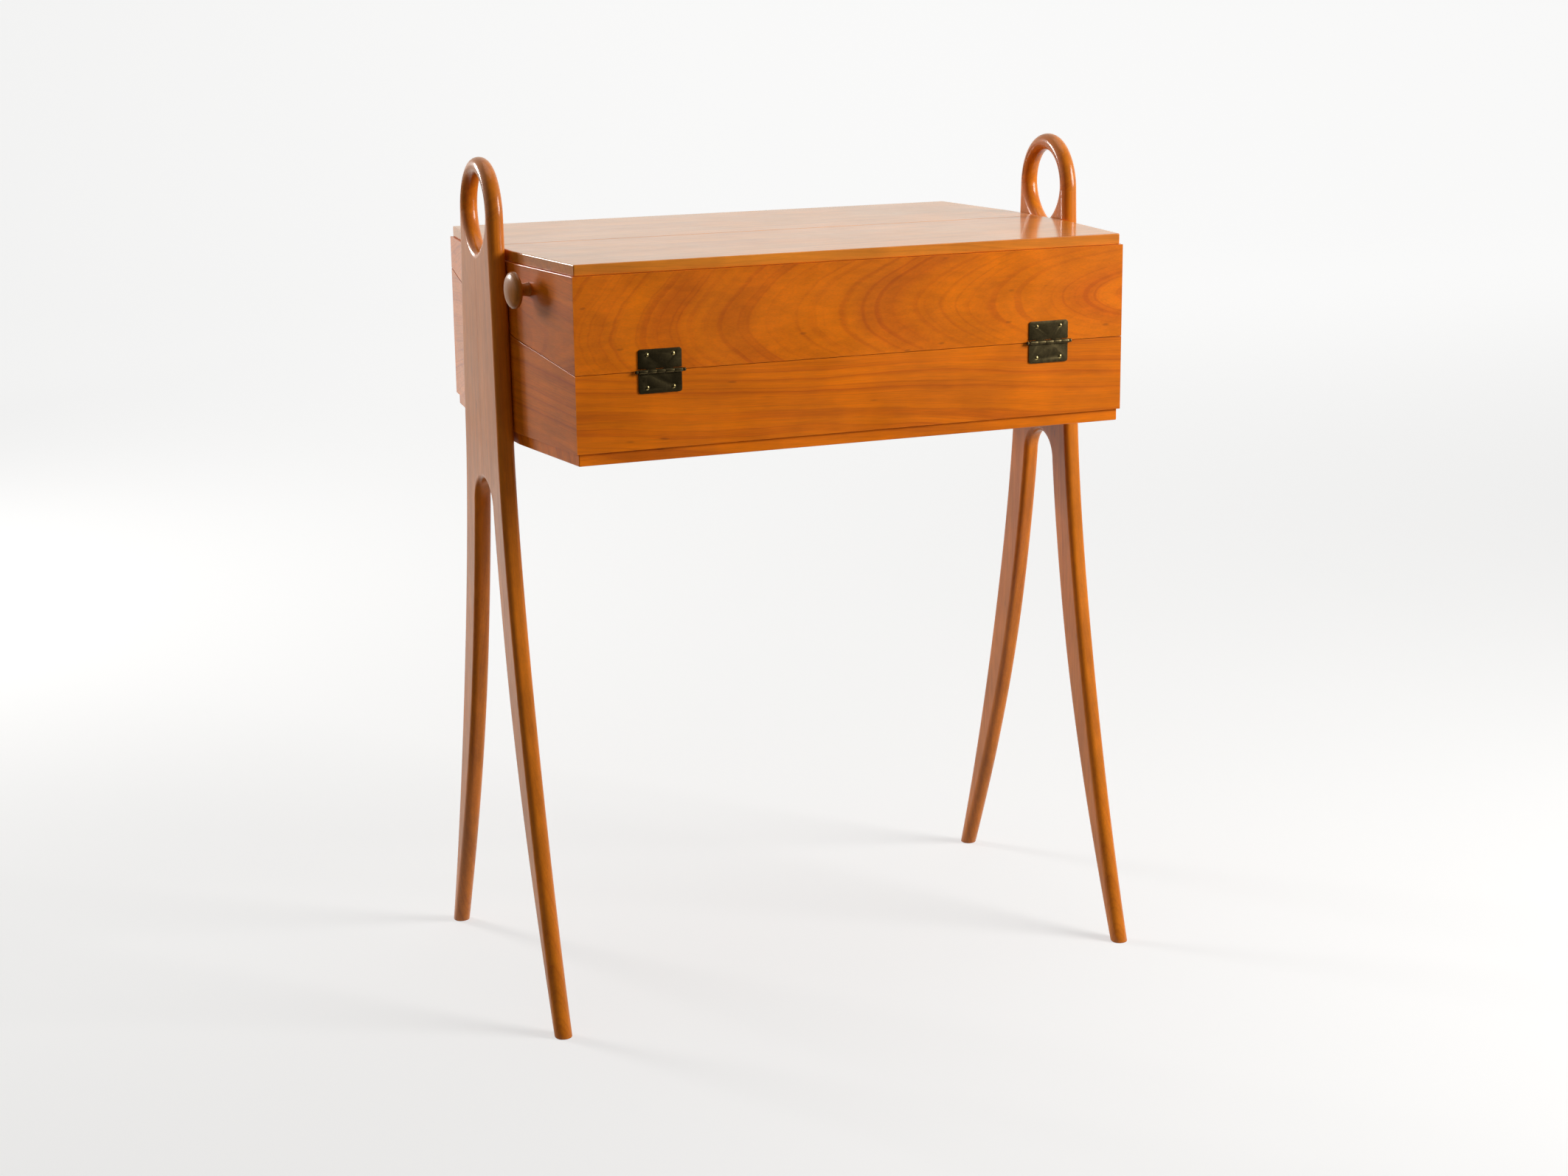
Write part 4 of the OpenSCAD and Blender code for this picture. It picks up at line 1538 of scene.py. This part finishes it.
@dataclass
class Studio:
    """A pale floor that sweeps up behind, soft lamps, a white surround and the camera.

    Attributes:
        focal: Focal length of the camera, in mm on a 36 mm sensor.
        place: Where the camera stands, in metres.
        yaw: Turn of the camera to the left, in degrees.
        pitch: Turn of the camera upwards, in degrees.
        roll: Turn of the camera about its axis, in degrees.
        warmth: Colour of the surround in reflections.
        fill: Strength of the surround as a light.
        floor_half: Half the floor's width, in metres.
        floor_front: Where the floor starts along Y, in metres.
        floor_back: Where it starts to sweep up.
        sweep_r: Radius of the sweep.
        wall_h: Height of the backdrop above the sweep.
        lamps: The lamps.
    """

    focal: float = 60.69
    place: Triple = (-0.9798, -2.3439, 0.9709)
    yaw: float = -22.74
    pitch: float = -13.56
    roll: float = -0.64
    warmth: Colour = (1.0, 0.985, 0.90, 1.0)
    fill: float = 0.17
    floor_half: float = 16.0
    floor_front: float = -14.0
    floor_back: float = 5.0
    sweep_r: float = 2.5
    wall_h: float = 4.0
    lamps: tuple[Lamp, ...] = (
        Lamp("key", (1.55, -1.2, 1.3), (0.0, 0.0, 0.5), 0.85, 43.0, (1.0, 0.985, 0.96)),
        Lamp("side", (-1.7, 2.2, 1.25), (0.0, 0.0, 0.55), 0.7, 43.0, (1.0, 0.985, 0.96)),
        Lamp("top", (0.2, 0.3, 3.4), (0.0, 0.0, 0.5), 2.0, 12.0),
    )

    def surround(self) -> None:
        """Makes the world white to the camera and in reflections, and dimmer as a light."""
        world = bpy.data.worlds.new("studio")
        bpy.context.scene.world = world
        world.use_nodes = True
        bench = NodeBench(world.node_tree)
        path = bench.add("LightPath").outputs
        mirrored = bench.most(path["Is Glossy Ray"], path["Is Transmission Ray"])
        seen = bench.most(path["Is Camera Ray"], mirrored)
        way = bench.add("SeparateXYZ", {0: bench.add("TexCoord").outputs["Generated"]}).outputs["Y"]
        white = bench.most(path["Is Camera Ray"], bench.ramp(way, -0.5, 0.3, 0.06, 1.0))
        level = bench.plus(bench.times(seen, white), bench.times(bench.rest(seen), self.fill))
        bench.fill(world.node_tree.nodes["Background"], {
            0: bench.blend(path["Is Camera Ray"], self.warmth, WHITE), 1: level})

    def floor(self) -> None:
        """Makes the pale floor, swept up into a backdrop."""
        mesh = bmesh.new()
        ends = [mesh.verts.new((x, self.floor_front, 0.0)) for x in (-self.floor_half, self.floor_half)]
        edge = mesh.edges.new(ends)
        flat = bmesh.ops.extrude_edge_only(mesh, edges=[edge])["geom"]
        line = [g for g in flat if isinstance(g, bmesh.types.BMVert)]
        bmesh.ops.translate(mesh, vec=(0, self.floor_back - self.floor_front, 0), verts=line)
        edges = [g for g in flat if isinstance(g, bmesh.types.BMEdge) and all(v in line for v in g.verts)]
        swept = bmesh.ops.spin(mesh, geom=line + edges, cent=(0, self.floor_back, self.sweep_r),
                               axis=(1, 0, 0), dvec=(0, 0, 0), angle=math.radians(80), steps=24,
                               use_duplicate=False)["geom_last"]
        up = [g for g in swept if isinstance(g, bmesh.types.BMEdge)]
        wall = bmesh.ops.extrude_edge_only(mesh, edges=up)["geom"]
        high = [g for g in wall if isinstance(g, bmesh.types.BMVert)]
        bmesh.ops.translate(mesh, vec=(0, 0, self.wall_h), verts=high)
        floor = as_object("floor", mesh)
        floor.data.shade_smooth()
        floor.data.materials.append(self.floor_paint())

    def floor_paint(self) -> bpy.types.Material:
        """The floor's matt white, lifted a little where the camera or a reflection sees it.

        Returns:
            The material.
        """
        made, bench, shader = blank_material("floor_white")
        path = bench.add("LightPath").outputs
        place = bench.add("SeparateXYZ", {0: bench.add("TexCoord").outputs["Object"]}).outputs
        mirrored = bench.most(path["Is Glossy Ray"], path["Is Transmission Ray"])
        # Reflections show the bright floor only behind the table and to its right, and a dark one elsewhere.
        sector = bench.plus(bench.times(bench.plus(place["X"], 0.30), 0.87),
                            bench.times(bench.plus(place["Y"], 0.05), 0.50))
        behind = bench.times(bench.ramp(sector, -0.25, 0.12), bench.ramp(place["Y"], -1.6, -0.5))
        dimmed = bench.times(mirrored, bench.rest(behind))
        shown = bench.most(path["Is Camera Ray"], bench.times(mirrored, behind))
        # The lift grows away from the camera and to the right, and fades the floor's rim to white.
        lift = bench.plus(bench.ramp(place["Y"], -1.0, 4.5, 0.56, 0.82),
                          bench.ramp(place["X"], -3.0, 3.5, -0.04, 0.07))
        rim = bench.most(bench.ramp(place["Y"], -2.0, -9.0, 0.0, 0.5),
                         bench.most(bench.ramp(place["X"], -2.5, -9.0, 0.0, 0.5),
                                    bench.ramp(place["X"], 7.5, 12.0, 0.0, 0.4)))
        bench.fill(shader, {
            "Base Color": bench.blend(bench.times(dimmed, 0.85), (0.35, 0.35, 0.35, 1.0), BLACK),
            "Roughness": 0.9,
            "Specular IOR Level": 0.1,
            "Emission Color": bench.blend(path["Is Camera Ray"], self.warmth, WHITE),
            "Emission Strength": bench.times(shown, bench.plus(lift, rim)),
        })
        return made

    def camera(self) -> None:
        """Puts the camera in the scene."""
        yaw, pitch, roll = (math.radians(a) for a in (self.yaw, self.pitch, self.roll))
        ahead = Vector((-math.sin(yaw) * math.cos(pitch), math.cos(yaw) * math.cos(pitch), math.sin(pitch)))
        right = Vector((math.cos(yaw), math.sin(yaw), 0.0))
        up = right.cross(ahead)
        across = right * math.cos(roll) + up * math.sin(roll)
        above = up * math.cos(roll) - right * math.sin(roll)
        data = bpy.data.cameras.new("camera")
        data.lens, data.sensor_width, data.sensor_fit = self.focal, 36.0, "HORIZONTAL"
        camera = bpy.data.objects.new("camera", data)
        bpy.context.scene.collection.objects.link(camera)
        turn = Matrix((across, above, -ahead)).transposed().to_4x4()
        camera.matrix_world = Matrix.Translation(Vector(self.place)) @ turn
        bpy.context.scene.camera = camera

    def build(self) -> None:
        """Sets up the whole studio."""
        self.surround()
        self.floor()
        for lamp in self.lamps:
            lamp.hang()
        self.camera()
        bpy.context.scene.view_settings.view_transform = "Standard"


# ---------------------------------------------------------------------------
# The whole table
# ---------------------------------------------------------------------------


def main() -> None:
    """Builds every sub-assembly in order."""
    logging.basicConfig(level=logging.INFO, format="%(name)s: %(message)s")
    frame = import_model()
    shop = Workshop(frame, Design())
    screws = Screws(shop)
    for side in SIDES:
        LegFrame(shop, side).build()
        screws.frame_screws(side)
        screws.dowels(side)
    Joinery(shop, "stand", box_boards()).build()
    for at, body in LID_BODIES.items():
        Joinery(shop, body, lid_boards(at)).build()
    Knob(shop).build(screws)
    Hinges(shop).build(screws)
    Studio().build()
    bpy.context.view_layer.update()


if __name__ == "__main__":
    main()
